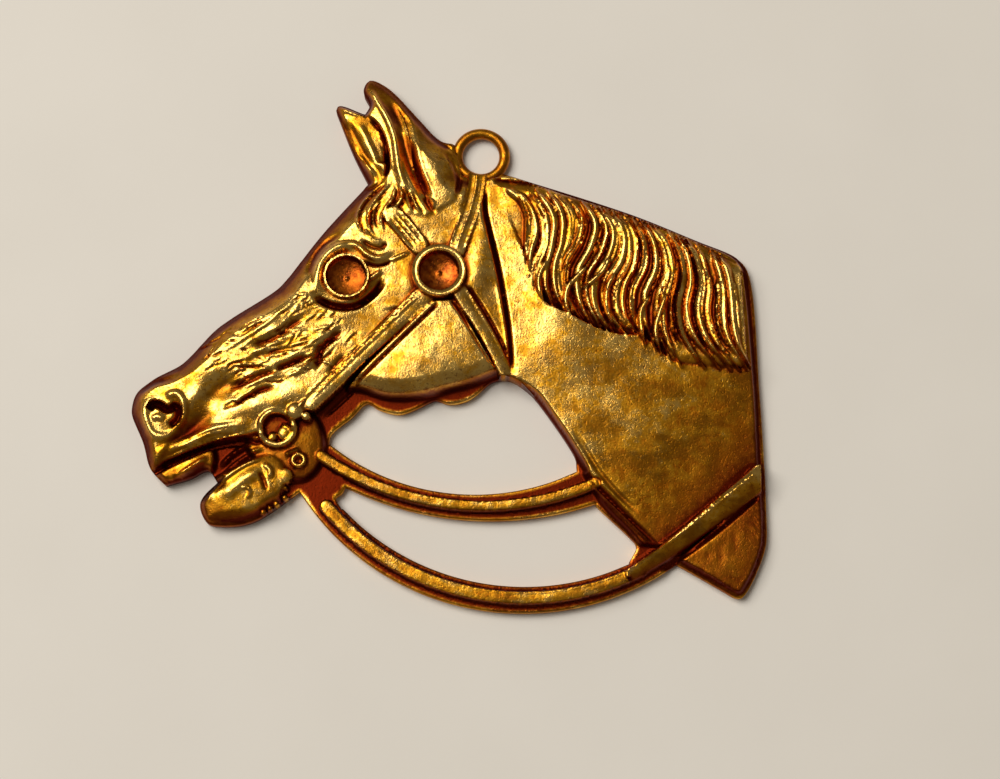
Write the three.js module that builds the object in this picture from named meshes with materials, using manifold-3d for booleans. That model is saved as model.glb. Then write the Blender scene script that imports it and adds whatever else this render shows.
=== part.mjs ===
// Horse brass: a bridled horse's head and neck in low relief, cast in one piece of brass with its hanging
// ring, and seen from its left side. Two reins stand clear of the neck as open bars.
// Millimetres, +Z up. The brass lies on its flat back: the back is z = 0 and the relief faces up. The nose
// points to -X and the crest of the mane to +Y. The origin is the centre of the overall outline.

import * as THREE from 'three';
import { mergeVertices } from 'three/addons/utils/BufferGeometryUtils.js';
import Module from 'manifold-3d';

const wasm = await Module();
wasm.setup();

// ---------------------------------------------------------------- driving dimensions

const PLATE = 1.1;                // thickness of the plate that backs the whole relief
const ROOT = 0.4;                 // depth inside the plate from which every raised form starts
const CLEAR = 6;                  // a height above the whole relief, for cutting tools
const FLATNESS = 0.05;            // how far the chords of a curved outline may stray from it
const FINE_STEP = 0.25;           // spacing of the points that a smooth outline is thinned from
const SHORTEST_SIDE = 0.1;        // outline points closer together than this become one
const MERGE = 1e-4;               // mesh points closer together than this become one

const RING = { centre: [3.5, 21.0], outer: 3.2, hole: 2.0, height: 0.75 };
const SEAT_BORE = 2.15;           // radius of the two round seats that once held stones
const EYE = { centre: [-11.0, 6.6], rim: 2.5, top: 4.3 };
const ROSETTE = { centre: [-1.0, 7.1], rim: 2.95, top: 4.6 };
const SEAT_DEPTH = 1.2;           // from the rim of a seat to the foot of its wall
const SEAT_DISH = 0.45;           // how much deeper the middle of the seat's floor is

const REIN_TOP = 2.3;             // height of the two open reins
const REIN_WIDTH = 1.9;           // raised part of a rein; the plate shows 0.5 on each side of it
const STRAP_TOP = 4.1;            // cheek strap of the bridle

// The four edges of the open reins are arcs.
const LOWER_REIN_OUTER = { centre: [8.0, -1.1], radius: 28.4 };
const LOWER_REIN_INNER = { centre: [8.2, 0.0], radius: 26.7 };
const UPPER_REIN_OUTER = { centre: [4.6, 15.6], radius: 35.2 };
const UPPER_REIN_INNER = { centre: [2.9, 8.3], radius: 25.1 };

// ---------------------------------------------------------------- curves

const mix = (a, b, t) => a + (b - a) * t;

function curveThrough(points) {
  const vectors = points.map(([x, y]) => new THREE.Vector3(x, y, 0));
  return new THREE.CatmullRomCurve3(vectors, false, 'centripetal');
}

// Evenly spaced points on a smooth curve through the given points.
function spaced(points, step) {
  const curve = curveThrough(points);
  const count = Math.max(2, Math.round(curve.getLength() / step));
  return curve.getSpacedPoints(count).map(({ x, y }) => [x, y]);
}

function distanceToChord([x, y], [ax, ay], [bx, by]) {
  const [dx, dy] = [bx - ax, by - ay];
  const along = Math.min(1, Math.max(0, ((x - ax) * dx + (y - ay) * dy) / (dx * dx + dy * dy)));
  return Math.hypot(x - ax - dx * along, y - ay - dy * along);
}

// The same curve in as few points as keep every chord within FLATNESS of it.
function smooth(points) {
  const fine = spaced(points, FINE_STEP);
  const strays = (from, to) => fine
    .slice(from + 1, to)
    .some((point) => distanceToChord(point, fine[from], fine[to]) > FLATNESS);
  const kept = [0];
  for (let next = 2; next < fine.length; next++) {
    if (strays(kept.at(-1), next)) kept.push(next - 1);
  }
  return [...kept, fine.length - 1].map((i) => fine[i]);
}

// A closed loop through stretches of points, with the points they share kept once.
function closed(...stretches) {
  const points = stretches.flat();
  return points.filter(([x, y], i) => {
    const [nextX, nextY] = points[(i + 1) % points.length];
    return Math.hypot(nextX - x, nextY - y) > SHORTEST_SIDE;
  });
}

// A closed loop of smooth stretches that meet at corners.
const loop = (...stretches) => closed(...stretches.map((stretch) => smooth(stretch)));

// Points on the short way round an arc from one given point to the other.
function arc({ centre, radius }, from, to, step = Math.sqrt(8 * radius * FLATNESS)) {
  const angleOf = ([x, y]) => Math.atan2(y - centre[1], x - centre[0]);
  const start = angleOf(from);
  const turn = Math.atan2(Math.sin(angleOf(to) - start), Math.cos(angleOf(to) - start));
  const count = Math.ceil(Math.abs(turn) * radius / step);
  return Array.from({ length: count + 1 }, (_, i) => {
    const angle = start + turn * i / count;
    return [centre[0] + radius * Math.cos(angle), centre[1] + radius * Math.sin(angle)];
  });
}

// ---------------------------------------------------------------- solids

function manifoldOf(geometry) {
  return new wasm.Manifold(new wasm.Mesh({
    numProp: 3,
    vertProperties: geometry.attributes.position.array,
    triVerts: new Uint32Array(geometry.index.array),
  }));
}

// A closed mesh as a solid; one whose faces point inwards is turned round.
function solidOf(geometry) {
  geometry.deleteAttribute('normal');
  geometry.deleteAttribute('uv');
  const merged = mergeVertices(geometry, MERGE);
  const solid = manifoldOf(merged);
  if (solid.volume() > 0) return solid;
  merged.index.array.reverse();
  return manifoldOf(merged);
}

// Outlines run clockwise, and a THREE.Shape runs anticlockwise.
function shapeOf(outline, holes) {
  const vectors = (points) => points.map(([x, y]) => new THREE.Vector2(x, y));
  const shape = new THREE.Shape(vectors(outline).reverse());
  shape.holes = holes.map((hole) => new THREE.Path(vectors(hole)));
  return shape;
}

// A closed block of columns x rows cells, whose top follows place(u, v) -> [x, y, z].
function block(columns, rows, place) {
  const geometry = new THREE.BoxGeometry(1, 1, 1, columns, rows, 1);
  const position = geometry.attributes.position;
  for (let i = 0; i < position.count; i++) {
    const [x, y, z] = place(position.getX(i) + 0.5, position.getY(i) + 0.5);
    position.setXYZ(i, x, y, position.getZ(i) > 0 ? z : ROOT);
  }
  return solidOf(geometry);
}

// A closed body through rings of points; each end is closed by a fan round its own point.
function lofted(rings, startPoint, endPoint) {
  const count = rings[0].length;
  const last = (rings.length - 1) * count;
  const index = [];
  for (let j = 0; j < count; j++) {
    const next = (j + 1) % count;
    for (let ring = 0; ring < last; ring += count) {
      index.push(ring + j, ring + next, ring + count + next);
      index.push(ring + j, ring + count + next, ring + count + j);
    }
    index.push(last + count, next, j, last + count + 1, last + j, last + next);
  }
  const points = [...rings.flat(), startPoint, endPoint];
  const geometry = new THREE.BufferGeometry();
  geometry.setAttribute('position', new THREE.Float32BufferAttribute(points.flat(), 3));
  geometry.setIndex(index);
  return solidOf(geometry);
}

// A solid of revolution stood on a point of the relief.
function turned(profile, [x, y], sides = 22) {
  const geometry = new THREE.LatheGeometry(profile.map(([r, z]) => new THREE.Vector2(r, z)), sides);
  geometry.rotateX(Math.PI / 2);
  geometry.translate(x, y, 0);
  return solidOf(geometry);
}

// ---------------------------------------------------------------- outline of the plate

const MUZZLE_AND_FACE = [
  [-34.0, -7.7], [-33.6, -6.0], [-32.2, -4.6], [-28.7, -2.6], [-26.3, 0.0], [-24.8, 1.5], [-21.6, 3.7],
  [-18.4, 5.9], [-16.6, 8.2], [-14.1, 11.5], [-8.8, 17.6],
];
const FAR_EAR_FRONT = [[-8.8, 17.6], [-10.1, 20.1], [-11.6, 23.6], [-12.5, 26.0]];
const FAR_EAR_TIP = [[-12.5, 26.0], [-12.3, 26.5], [-11.7, 26.5], [-10.1, 25.8], [-9.3, 25.5]];
const NEAR_EAR = [
  [-9.3, 25.5], [-8.8, 26.5], [-9.5, 28.3], [-8.8, 29.5], [-6.9, 28.7], [-4.4, 26.2], [-0.9, 22.5],
  [1.1, 22.1],
];
const CREST = [
  [6.9, 18.6], [9.1, 17.9], [13.3, 16.5], [19.9, 14.3], [27.5, 11.1], [31.3, 9.4], [32.6, 7.8],
];
const BACK_OF_NECK = [[32.6, 7.8], [33.1, 1.4], [33.6, -6.4], [34.0, -19.5], [33.9, -22.2]];
const NECK_TIP = [[33.9, -22.2], [32.9, -25.1], [31.3, -27.8], [30.7, -27.9], [27.9, -26.3], [24.3, -24.3]];
const CHIN = [
  [-15.9, -16.5], [-17.9, -17.9], [-19.8, -19.3], [-22.0, -20.1], [-24.3, -20.2], [-25.6, -19.9],
  [-26.4, -18.0], [-25.9, -16.9], [-24.6, -15.6],
];
const MOUTH_NOTCH = [[-24.6, -15.6], [-25.7, -14.2], [-27.5, -15.0], [-30.2, -15.8]];
const UPPER_LIP_FRONT = [[-30.2, -15.8], [-31.8, -14.1], [-32.5, -11.7], [-33.9, -8.4], [-34.0, -7.7]];

const JAW_EDGE = [
  [-12.8, -11.5], [-12.6, -10.3], [-10.6, -8.6], [-8.7, -6.8], [-7.6, -7.4], [-5.2, -8.0], [-2.5, -7.0],
  [-1.4, -6.5], [0.2, -6.9], [2.3, -6.4], [4.9, -4.4], [6.7, -4.3],
];
const THROAT_EDGE = [[6.7, -4.3], [8.8, -5.7], [11.0, -8.6], [13.7, -12.9], [13.8, -14.2]];
const CHEST_EDGE = [[15.8, -17.9], [19.4, -21.4], [20.1, -22.4], [19.3, -24.1]];
const LOWER_GAP_TIP = [[-11.3, -18.4], [-12.0, -17.2], [-11.3, -16.6]];

function plateOutline() {
  const ringFoot = { centre: RING.centre, radius: (RING.outer + RING.hole) / 2 };
  return closed(
    smooth(MUZZLE_AND_FACE), smooth(FAR_EAR_FRONT), smooth(FAR_EAR_TIP), smooth(NEAR_EAR),
    arc(ringFoot, [1.1, 22.1], [3.5, 18.4]), arc(ringFoot, [3.5, 18.4], [5.3, 19.1]),
    smooth(CREST), smooth(BACK_OF_NECK), smooth(NECK_TIP),
    arc(LOWER_REIN_OUTER, [24.3, -24.3], [8.0, -29.5]), arc(LOWER_REIN_OUTER, [8.0, -29.5], [-15.9, -16.5]),
    smooth(CHIN), smooth(MOUTH_NOTCH), smooth(UPPER_LIP_FRONT),
  );
}

function upperGap() {
  return closed(
    smooth(JAW_EDGE), smooth(THROAT_EDGE), arc(UPPER_REIN_INNER, [13.8, -14.2], [-12.8, -11.5]),
  );
}

function lowerGap() {
  return closed(
    arc(UPPER_REIN_OUTER, [-11.3, -16.6], [15.8, -17.9]), smooth(CHEST_EDGE),
    arc(LOWER_REIN_INNER, [19.3, -24.1], [-11.3, -18.4]), smooth(LOWER_GAP_TIP),
  );
}

function plate() {
  const shape = shapeOf(plateOutline(), [upperGap(), lowerGap()]);
  return solidOf(new THREE.ExtrudeGeometry(shape, { depth: PLATE, bevelEnabled: false }));
}

// ---------------------------------------------------------------- masses of the relief

// Each mass rises from its outline over `run`, and its top is a low dome: `peak` high at its centre and
// `fall` lower at `reach` from it.
const MASSES = {
  neck: {
    outline: loop(
      [[3.8, 15.0], [4.5, 10.5], [5.6, 5.5], [6.3, 1.0], [6.9, -3.8]],
      [[6.9, -3.8], [9.9, -6.2], [13.1, -10.2], [15.4, -14.3], [17.5, -18.2], [21.7, -22.4]],
      [[21.7, -22.4], [27.9, -17.9], [32.5, -13.9]],
      [[32.5, -13.9], [32.3, -6.7], [31.9, 1.0], [31.6, 8.0]],
      [[31.6, 8.0], [26.2, 10.8], [16.5, 14.7], [6.8, 17.9], [3.8, 15.0]],
    ),
    run: 1.1, peak: 3.0, centre: [22, -3], reach: [20, 22], fall: 0.9,
  },
  neckTip: {
    outline: loop(
      [[26.0, -24.7], [28.9, -22.4], [33.0, -18.3]],
      [[33.0, -18.3], [33.0, -22.2], [31.1, -27.0]],
      [[31.1, -27.0], [28.2, -25.7], [26.0, -24.7]],
    ),
    run: 0.6, peak: 2.3, centre: [30.8, -23], reach: [8, 8], fall: 0.5,
  },
  head: {
    outline: loop(
      [[-33.5, -8.0], [-32.7, -6.1], [-31.0, -4.9], [-28.2, -3.1], [-25.6, -0.6], [-22.4, 2.2]],
      [[-22.4, 2.2], [-18.2, 4.9], [-15.6, 7.6]],
      [[-15.6, 7.6], [-9.0, 8.5], [-3.6, 6.0]],
      [[-3.6, 6.0], [-9.2, -0.4], [-15.4, -6.9], [-20.4, -10.2], [-25.4, -11.9], [-30.4, -14.0]],
      [[-30.4, -14.0], [-31.7, -12.6], [-32.4, -10.4], [-33.5, -8.0]],
    ),
    run: 0.9, peak: 3.6, centre: [-17, 0.5], reach: [16, 12], fall: 0.7,
  },
  lowerLip: {
    outline: loop([
      [-30.7, -14.4], [-28.8, -13.2], [-25.5, -12.0], [-25.2, -13.6], [-27.6, -15.0], [-30.0, -15.5],
      [-30.7, -14.4],
    ]),
    run: 0.5, peak: 2.3, centre: [-28, -14], reach: [4, 3], fall: 0.3,
  },
  forehead: {
    outline: loop(
      [[-16.6, 6.8], [-15.2, 9.1], [-12.8, 12.1], [-8.6, 16.8], [-6.0, 18.0]],
      [[-6.0, 18.0], [0.8, 17.4], [3.6, 17.4]],
      [[3.6, 17.4], [3.8, 11.0], [1.5, 3.5]],
      [[1.5, 3.5], [-5.0, 3.0], [-14.0, 2.8], [-16.6, 6.8]],
    ),
    run: 1.9, peak: 3.4, centre: [-5, 9.5], reach: [12, 12], fall: 0.6,
  },
  jaw: {
    outline: loop(
      [[-0.8, 5.0], [1.4, 2.2], [3.1, -0.9], [4.7, -3.8]],
      [[4.7, -3.8], [2.4, -5.0], [0.3, -5.5], [-3.0, -6.3], [-6.4, -6.4], [-10.0, -5.2]],
      [[-10.0, -5.2], [-6.4, -1.4], [-0.8, 5.0]],
    ),
    run: 0.9, peak: 4.1, centre: [-2, -1.4], reach: [8, 7], fall: 0.5,
  },
  cheekBack: {
    outline: loop(
      [[1.2, 10.2], [3.3, 12.3], [4.3, 8.7], [5.1, 5.2], [5.9, 1.6]],
      [[5.9, 1.6], [3.8, 3.4], [1.2, 6.6], [1.2, 10.2]],
    ),
    run: 0.5, peak: 3.4, centre: [3, 7], reach: [4, 8], fall: 0.3,
  },
  bitCorner: {
    outline: loop([
      [-21.8, -9.0], [-18.0, -7.4], [-14.2, -8.4], [-13.2, -12.4], [-15.0, -15.2], [-18.4, -15.0],
      [-21.8, -11.6], [-21.8, -9.0],
    ]),
    run: 1.0, peak: 2.6, centre: [-18, -11], reach: [5, 5], fall: 0.5,
  },
  chin: {
    outline: loop([
      [-25.2, -18.4], [-24.6, -16.8], [-22.9, -14.7], [-20.5, -13.0], [-18.4, -12.9], [-17.2, -14.6],
      [-18.0, -17.0], [-20.6, -18.7], [-23.8, -19.2], [-25.2, -18.4],
    ]),
    run: 1.1, peak: 2.9, centre: [-21, -15.8], reach: [4, 3], fall: 0.5,
  },
  nearEar: {
    outline: loop(
      [[-8.9, 28.8], [-8.2, 28.8], [-6.6, 27.8], [-4.4, 25.4], [-2.2, 22.6], [-0.6, 19.9], [0.7, 15.2]],
      [[0.7, 15.2], [-2.6, 13.2], [-4.6, 13.8]],
      [[-4.6, 13.8], [-6.2, 18.4], [-7.6, 22.4], [-8.6, 25.8], [-8.9, 28.8]],
    ),
    run: 0.9, peak: 3.5, centre: [-2, 17], reach: [9, 12], fall: 0.7,
  },
  farEar: {
    outline: loop(
      [[-12.1, 26.1], [-10.2, 25.4], [-8.2, 24.8]],
      [[-8.2, 24.8], [-6.8, 20.2], [-6.6, 17.2]],
      [[-6.6, 17.2], [-8.7, 18.2], [-10.7, 21.8], [-12.1, 26.1]],
    ),
    run: 0.8, peak: 2.8, centre: [-8, 20], reach: [6, 8], fall: 0.3,
  },
};

function inside(outline, x, y) {
  let odd = false;
  for (let i = 0, j = outline.length - 1; i < outline.length; j = i++) {
    const [xi, yi] = outline[i];
    const [xj, yj] = outline[j];
    if (yi > y !== yj > y && x < xi + (xj - xi) * (y - yi) / (yj - yi)) odd = !odd;
  }
  return odd;
}

function distanceTo(outline, x, y) {
  const nextOf = (i) => outline[(i + 1) % outline.length];
  return Math.min(...outline.map((point, i) => distanceToChord([x, y], point, nextOf(i))));
}

// Height of one mass at a point inside its outline: a rounded wall under a domed top.
function heightOf({ outline, run, peak, centre, reach, fall }, x, y) {
  const inset = Math.min(1, distanceTo(outline, x, y) / run);
  const wall = PLATE + (peak - PLATE) * Math.sqrt(1 - (1 - inset) ** 2);
  const dome = peak - fall * (((x - centre[0]) / reach[0]) ** 2 + ((y - centre[1]) / reach[1]) ** 2);
  return Math.min(wall, dome);
}

// Height of all the masses at a point, before the finer forms are added.
function surface(x, y) {
  const under = Object.values(MASSES).filter(({ outline }) => inside(outline, x, y));
  return Math.max(PLATE, ...under.map((form) => heightOf(form, x, y)));
}

const towards = (from, to, share) => [mix(from[0], to[0], share), mix(from[1], to[1], share)];

// The point on the way from an outline point to the centre that lies `inset` inside the outline, found by
// halving the way.
function insetPoint({ outline, centre }, point, inset) {
  const halvings = 12;
  let [near, far] = [0, 0.9];
  for (let i = 0; i < halvings; i++) {
    const half = (near + far) / 2;
    if (distanceTo(outline, ...towards(point, centre, half)) < inset) near = half;
    else far = half;
  }
  return towards(point, centre, far);
}

// A mass as rings of points that close in from its outline on its centre.
function mass(form) {
  const { outline, centre, run } = form;
  const onTop = ([x, y]) => [x, y, heightOf(form, x, y)];
  const shoulder = outline.map((point) => insetPoint(form, point, run * 0.3));
  const top = outline.map((point) => insetPoint(form, point, run));
  const middle = top.map((point) => towards(point, centre, 0.5));
  return lofted([
    outline.map(([x, y]) => [x, y, ROOT]), outline.map(([x, y]) => [x, y, PLATE]),
    shoulder.map(onTop), top.map(onTop), middle.map(onTop),
  ], [...centre, ROOT], onTop(centre));
}

// ---------------------------------------------------------------- ridges, straps and grooves

// Cross-sections as [share of the half width, share of the height].
const ROUND = [[-1, 0], [-0.45, 0.85], [0.45, 0.85], [1, 0]];
const FLAT = [[-1, 0], [-0.8, 0.9], [0.8, 0.9], [1, 0]];

function middleOf(points) {
  return [0, 1, 2].map((axis) => points.reduce((sum, point) => sum + point[axis], 0) / points.length);
}

// A closed body swept along a path on the relief; section(x, y, t) -> [[offset, height], ...], from the
// path's right side over the top to its left side.
function sweep(path, step, section) {
  const centres = spaced(path, step);
  const last = centres.length - 1;
  const rings = centres.map(([x, y], i) => {
    const before = centres[Math.max(0, i - 1)];
    const after = centres[Math.min(last, i + 1)];
    const length = Math.hypot(after[0] - before[0], after[1] - before[1]);
    const side = [-(after[1] - before[1]) / length, (after[0] - before[0]) / length];
    const place = ([offset, z]) => [x + side[0] * offset, y + side[1] * offset, z];
    return section(x, y, i / last).map(place);
  });
  return lofted(rings, middleOf(rings[0]), middleOf(rings[last]));
}

// How full a ridge or groove is at t along it, from a thin start over a full middle to a thin end.
const fullness = (t) => Math.sin(Math.PI * mix(0.06, 0.94, t));

// A raised line that follows the surface and fades out at both ends.
function ridge(path, width, lift, step = 2) {
  const sunk = 0.15;
  return sweep(path, step, (x, y, t) => {
    const fade = Math.sqrt(fullness(t));
    const half = fade * width / 2;
    const foot = surface(x, y) - sunk;
    const line = ROUND.map(([across, up]) => [across * half, foot + up * (lift * fade + sunk)]);
    return [[-half, ROOT], ...line, [half, ROOT]];
  });
}

// A strap of its own height, whatever lies under it; width and top go from their first value to their last.
function strap(path, [startWidth, endWidth], [startTop, endTop], profile = FLAT, foot = PLATE) {
  const step = 1.6;
  return sweep(path, step, (x, y, t) => {
    const half = mix(startWidth, endWidth, t) / 2;
    const top = mix(startTop, endTop, t);
    const line = profile.map(([across, up]) => [across * half, mix(foot, top, up)]);
    return [[-half, ROOT], ...line, [half, ROOT]];
  });
}

// A V-shaped cut that follows the surface and fades out at both ends.
function groove(path, width, depth) {
  const step = 2;
  const above = 0.8;
  const half = width / 2 * (1 + above / depth);
  return sweep(path, step, (x, y, t) => {
    const top = surface(x, y);
    return [[0, top - depth * fullness(t)], [half, top + above], [-half, top + above]];
  });
}

// ---------------------------------------------------------------- finer forms

// Paths, widths and heights of the finer forms are given where each is made.
function reins() {
  const between = (inner, outer) => ({
    centre: towards(inner.centre, outer.centre, 0.5),
    radius: (inner.radius + outer.radius) / 2,
  });
  const upper = between(UPPER_REIN_INNER, UPPER_REIN_OUTER);
  const lower = between(LOWER_REIN_INNER, LOWER_REIN_OUTER);
  const onNeck = [[19.4, -25.7], [21.1, -24.7], [24.6, -22.7], [27.9, -20.2], [32.6, -15.8]];
  const width = [REIN_WIDTH, REIN_WIDTH];
  const top = [REIN_TOP, REIN_TOP];
  const step = 4;
  return [
    strap(arc(upper, [-13.8, -12.9], [16.4, -16.0], step), width, top, ROUND),
    strap(arc(lower, [-13.6, -17.0], [21.0, -24.6], step), width, top, ROUND),
    strap(onNeck, [REIN_WIDTH, 2.8], [REIN_TOP, 3.5], ROUND),
  ];
}

function bridle() {
  const piping = [0.5, 0.4];
  return [
    strap([[-3.0, 5.2], [-14.6, -6.9]], [2.5, 1.6], [STRAP_TOP, 3.7]),                    // cheek strap
    strap([[-4.6, 4.8], [-15.2, -6.4]], piping, [STRAP_TOP + 0.2, 3.9], ROUND, 3),
    strap([[0.8, 5.4], [3.4, 1.6], [5.6, -3.2]], [2.0, 1.5], [3.7, 3.4]),                 // throat latch
    strap([[0.9, 9.4], [2.4, 13.4], [2.7, 17.3]], [2.3, 1.9], [3.9, 3.2]),                // crown strap
    strap([[-0.1, 9.8], [1.3, 13.4], [1.7, 17.3]], piping, [STRAP_TOP, 3.4], ROUND, 2.6),
    strap([[-3.0, 9.6], [-6.3, 13.6]], [2.1, 1.9], [4.0, 3.9]),                           // browband
  ];
}

// A round seat: a rimmed cup with a dished floor and a small point in the middle of it.
function seat({ centre, rim, top }) {
  const floor = top - SEAT_DEPTH;
  const bevel = 0.25;
  const point = 0.3;
  return turned([
    [0, ROOT], [rim, ROOT], [rim, top - bevel], [rim - bevel, top], [SEAT_BORE + 0.1, top],
    [SEAT_BORE, top - bevel], [SEAT_BORE, floor], [point, floor - SEAT_DISH],
    [0, floor - SEAT_DISH + point],
  ], centre);
}

// The room that a seat needs, from its floor up.
function seatCut({ centre, top }) {
  const floor = top - SEAT_DEPTH;
  return turned([[0, floor - SEAT_DISH], [SEAT_BORE, floor], [SEAT_BORE, CLEAR], [0, CLEAR]], centre);
}

// A round-headed knob.
function boss([x, y], radius, top) {
  const sides = 8;
  const shoulder = [radius, top - radius * 0.6];
  const brow = [radius * 0.65, top - radius * 0.15];
  return turned([[0, ROOT], [radius, ROOT], shoulder, brow, [0, top]], [x, y], sides);
}

// The bit: its cheek ring and bar, the knobs that join it to the cheek strap, and the curb under it.
function bit() {
  const cheekRing = new THREE.TorusGeometry(1.7, 0.5, 6, 14).translate(-18.2, -10.1, 2.7);
  const curbRing = new THREE.TorusGeometry(0.65, 0.3, 5, 9).translate(-15.9, -13.4, 2.3);
  return [
    solidOf(cheekRing),
    solidOf(curbRing),
    boss([-17.9, -10.3], 0.8, 3.2),
    boss([-15.7, -8.3], 0.95, 3.7),
    boss([-14.7, -7.4], 0.75, 3.8),
    boss([-17.2, -14.8], 0.9, 3.0),
    ridge([[-24.6, -15.2], [-22.6, -12.9], [-19.6, -11.0]], 1.0, 0.6),
    ridge([[-24.2, -14.0], [-21.6, -11.9], [-19.8, -10.2]], 0.6, 0.4),
  ];
}

// The near ear is a funnel open to the front: a front rim, a deep hollow and a back rim.
function ears() {
  const frontRim = [[-8.6, 28.0], [-7.6, 24.6], [-6.3, 20.4], [-4.6, 15.4]];
  const backRim = [[-7.6, 27.6], [-4.9, 23.4], [-3.9, 19.4], [-1.6, 15.2]];
  return [
    ridge(frontRim, 1.0, 0.5),
    ridge(backRim, 0.8, 0.5),
    ridge([[-3.0, 23.0], [-1.4, 19.4], [-0.4, 15.8]], 1.6, 0.35),
    ridge([[-11.8, 25.8], [-10.6, 22.6], [-8.0, 18.6]], 0.6, 0.5),
    ridge([[-10.2, 24.6], [-8.6, 21.6], [-7.2, 18.6]], 1.2, 0.35),
  ];
}

function earHollows() {
  return [
    groove([[-7.4, 27.0], [-5.4, 22.6], [-4.8, 18.4], [-2.4, 13.8]], 1.3, 1.3),
    groove([[-8.7, 25.2], [-7.0, 21.4], [-6.6, 17.6]], 0.7, 1.2),
    groove([[-11.2, 25.2], [-9.8, 21.6], [-8.0, 18.4]], 0.5, 0.7),
  ];
}

function forelock() {
  const locks = [
    [[-7.6, 17.2], [-9.6, 15.4], [-10.4, 12.8], [-8.8, 10.9]],
    [[-6.8, 17.2], [-8.6, 14.9], [-9.2, 12.4], [-7.9, 11.2]],
    [[-6.2, 17.0], [-7.4, 14.6], [-8.0, 12.6], [-6.9, 11.4]],
    [[-5.4, 16.8], [-5.6, 14.9], [-6.8, 13.4]],
  ];
  return locks.map((lock) => ridge(lock, 0.7, 0.4, 1.2));
}

function features() {
  const nostrilRim = [
    [-31.6, -10.2], [-32.2, -8.0], [-30.6, -6.3], [-28.6, -6.8], [-28.2, -8.6], [-29.6, -10.4],
    [-31.6, -10.2],
  ];
  return [
    ridge(nostrilRim, 0.8, 0.5),
    ridge([[-14.0, 6.0], [-13.2, 8.4], [-11.3, 9.6], [-9.4, 8.9], [-7.4, 7.9]], 0.8, 0.9),     // upper eyelid
    ridge([[-20.0, -6.0], [-15.0, -1.2], [-11.8, 1.6], [-8.8, 3.2]], 2.0, 0.4),                // cheek bone
    ridge([[-26.0, -2.6], [-21.6, 0.8], [-17.4, 4.0], [-15.0, 6.0]], 1.6, 0.3),                // nose bone
    ridge([[-24.2, -8.4], [-22.6, -7.0], [-20.4, -6.0]], 0.8, 0.5),                            // cheek fold
    ridge([[-32.4, -11.4], [-29.0, -11.6], [-25.8, -10.3], [-21.0, -9.4]], 1.6, 0.5),          // upper lip
    ridge([[-28.4, -14.4], [-26.8, -13.4], [-25.2, -12.6]], 0.7, 0.5),                         // lower lip
    ridge([[-28.4, -5.8], [-26.6, -5.2], [-24.8, -5.6]], 1.2, 0.4),                            // nostril wing
    boss([-21.7, -17.0], 0.7, 3.2),
    ridge([[-24.0, -17.4], [-21.4, -14.9], [-18.6, -13.6]], 1.0, 0.4),                         // chin
  ];
}

function creases() {
  const nostril = [[-31.4, -8.2], [-30.2, -7.8], [-29.2, -7.9], [-28.8, -8.8], [-29.6, -9.6]];
  const mouth = [[-30.9, -13.6], [-28.0, -12.6], [-25.0, -11.7], [-20.4, -10.6]];
  const underEye = [[-14.6, 5.4], [-13.0, 3.8], [-11.0, 3.2], [-8.8, 3.8], [-7.0, 6.2]];
  const behindCheek = [[3.6, 15.6], [4.0, 12.1], [4.9, 7.6], [5.9, 3.1], [6.6, -0.7], [6.9, -4.0]];
  return [
    groove(nostril, 0.9, 1.2),
    groove(mouth, 0.8, 1.1),
    groove(underEye, 0.9, 0.9),
    groove([[-10.6, 2.2], [-12.6, 0.3], [-13.8, -2.2]], 0.9, 0.6),      // hollow before the cheek strap
    groove([[-18.2, -3.6], [-16.4, -2.9], [-14.4, -1.9]], 0.7, 0.4),    // skin fold on the nose
    groove([[-25.8, -7.2], [-23.8, -5.0], [-20.6, -3.6]], 1.2, 0.6),    // hollow behind the nostril
    groove(behindCheek, 0.8, 1.0),
    groove([[11.0, -9.0], [14.8, -14.6], [20.4, -20.8]], 0.5, 0.4),     // skin fold along the throat
  ];
}

// The mane: locks lie side by side from the crest to a ragged hem and swing forward half way down.
const LOCKS = 22;
const MANE_CREST = [[6.3, 17.6], [13.3, 16.1], [19.9, 13.8], [27.5, 10.6], [31.6, 8.3]];
const MANE_HEM = [[8.9, 4.6], [12.0, 2.2], [16.6, -0.5], [20.7, -0.8], [23.3, -3.1], [31.7, -4.0]];
const MANE_EDGE = 2.4;
const MANE_TOP = 3.3;
const LOCK_LIFT = 0.5;

function mane() {
  const splineOf = (points) => new THREE.SplineCurve(points.map(([x, y]) => new THREE.Vector2(x, y)));
  const crest = splineOf(MANE_CREST);
  const hem = splineOf(MANE_HEM);
  // How far a lock's line swings back (+) or forward (-): its ends stay on the crest and the hem.
  const sway = (u, fall) => {
    const wave = 0.8 * (1 - u) * Math.sin(2 * Math.PI * fall);
    const bow = (0.7 - 1.7 * Math.sin(Math.PI * u)) * Math.sin(Math.PI * fall);
    return wave + bow;
  };
  // 0 on the edge of the mane and 1 a short way inside it.
  const rise = (u, fall) => {
    const fromSides = Math.min(1, 6 * Math.min(u, 1 - u));
    const fromEnds = Math.min(1, 8 * Math.min(fall + 0.05, 1.02 - fall));
    return fromSides * fromEnds;
  };
  return block(2 * LOCKS, 8, (u, v) => {
    const fall = 1 - v;
    const [top, bottom] = [crest.getPoint(u), hem.getPoint(u)];
    const isRidge = Math.round(u * 2 * LOCKS) % 2;
    const edge = rise(u, fall);
    const height = mix(MANE_EDGE, MANE_TOP, edge) + LOCK_LIFT * isRidge * Math.min(1, edge + 0.3);
    return [mix(top.x, bottom.x, fall) + sway(u, fall), mix(top.y, bottom.y, fall), height];
  });
}

function ring() {
  const wire = (RING.outer - RING.hole) / 2;
  const geometry = new THREE.TorusGeometry((RING.outer + RING.hole) / 2, wire, 8, 26);
  return solidOf(geometry.translate(...RING.centre, RING.height));
}

// ---------------------------------------------------------------- the casting

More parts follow.
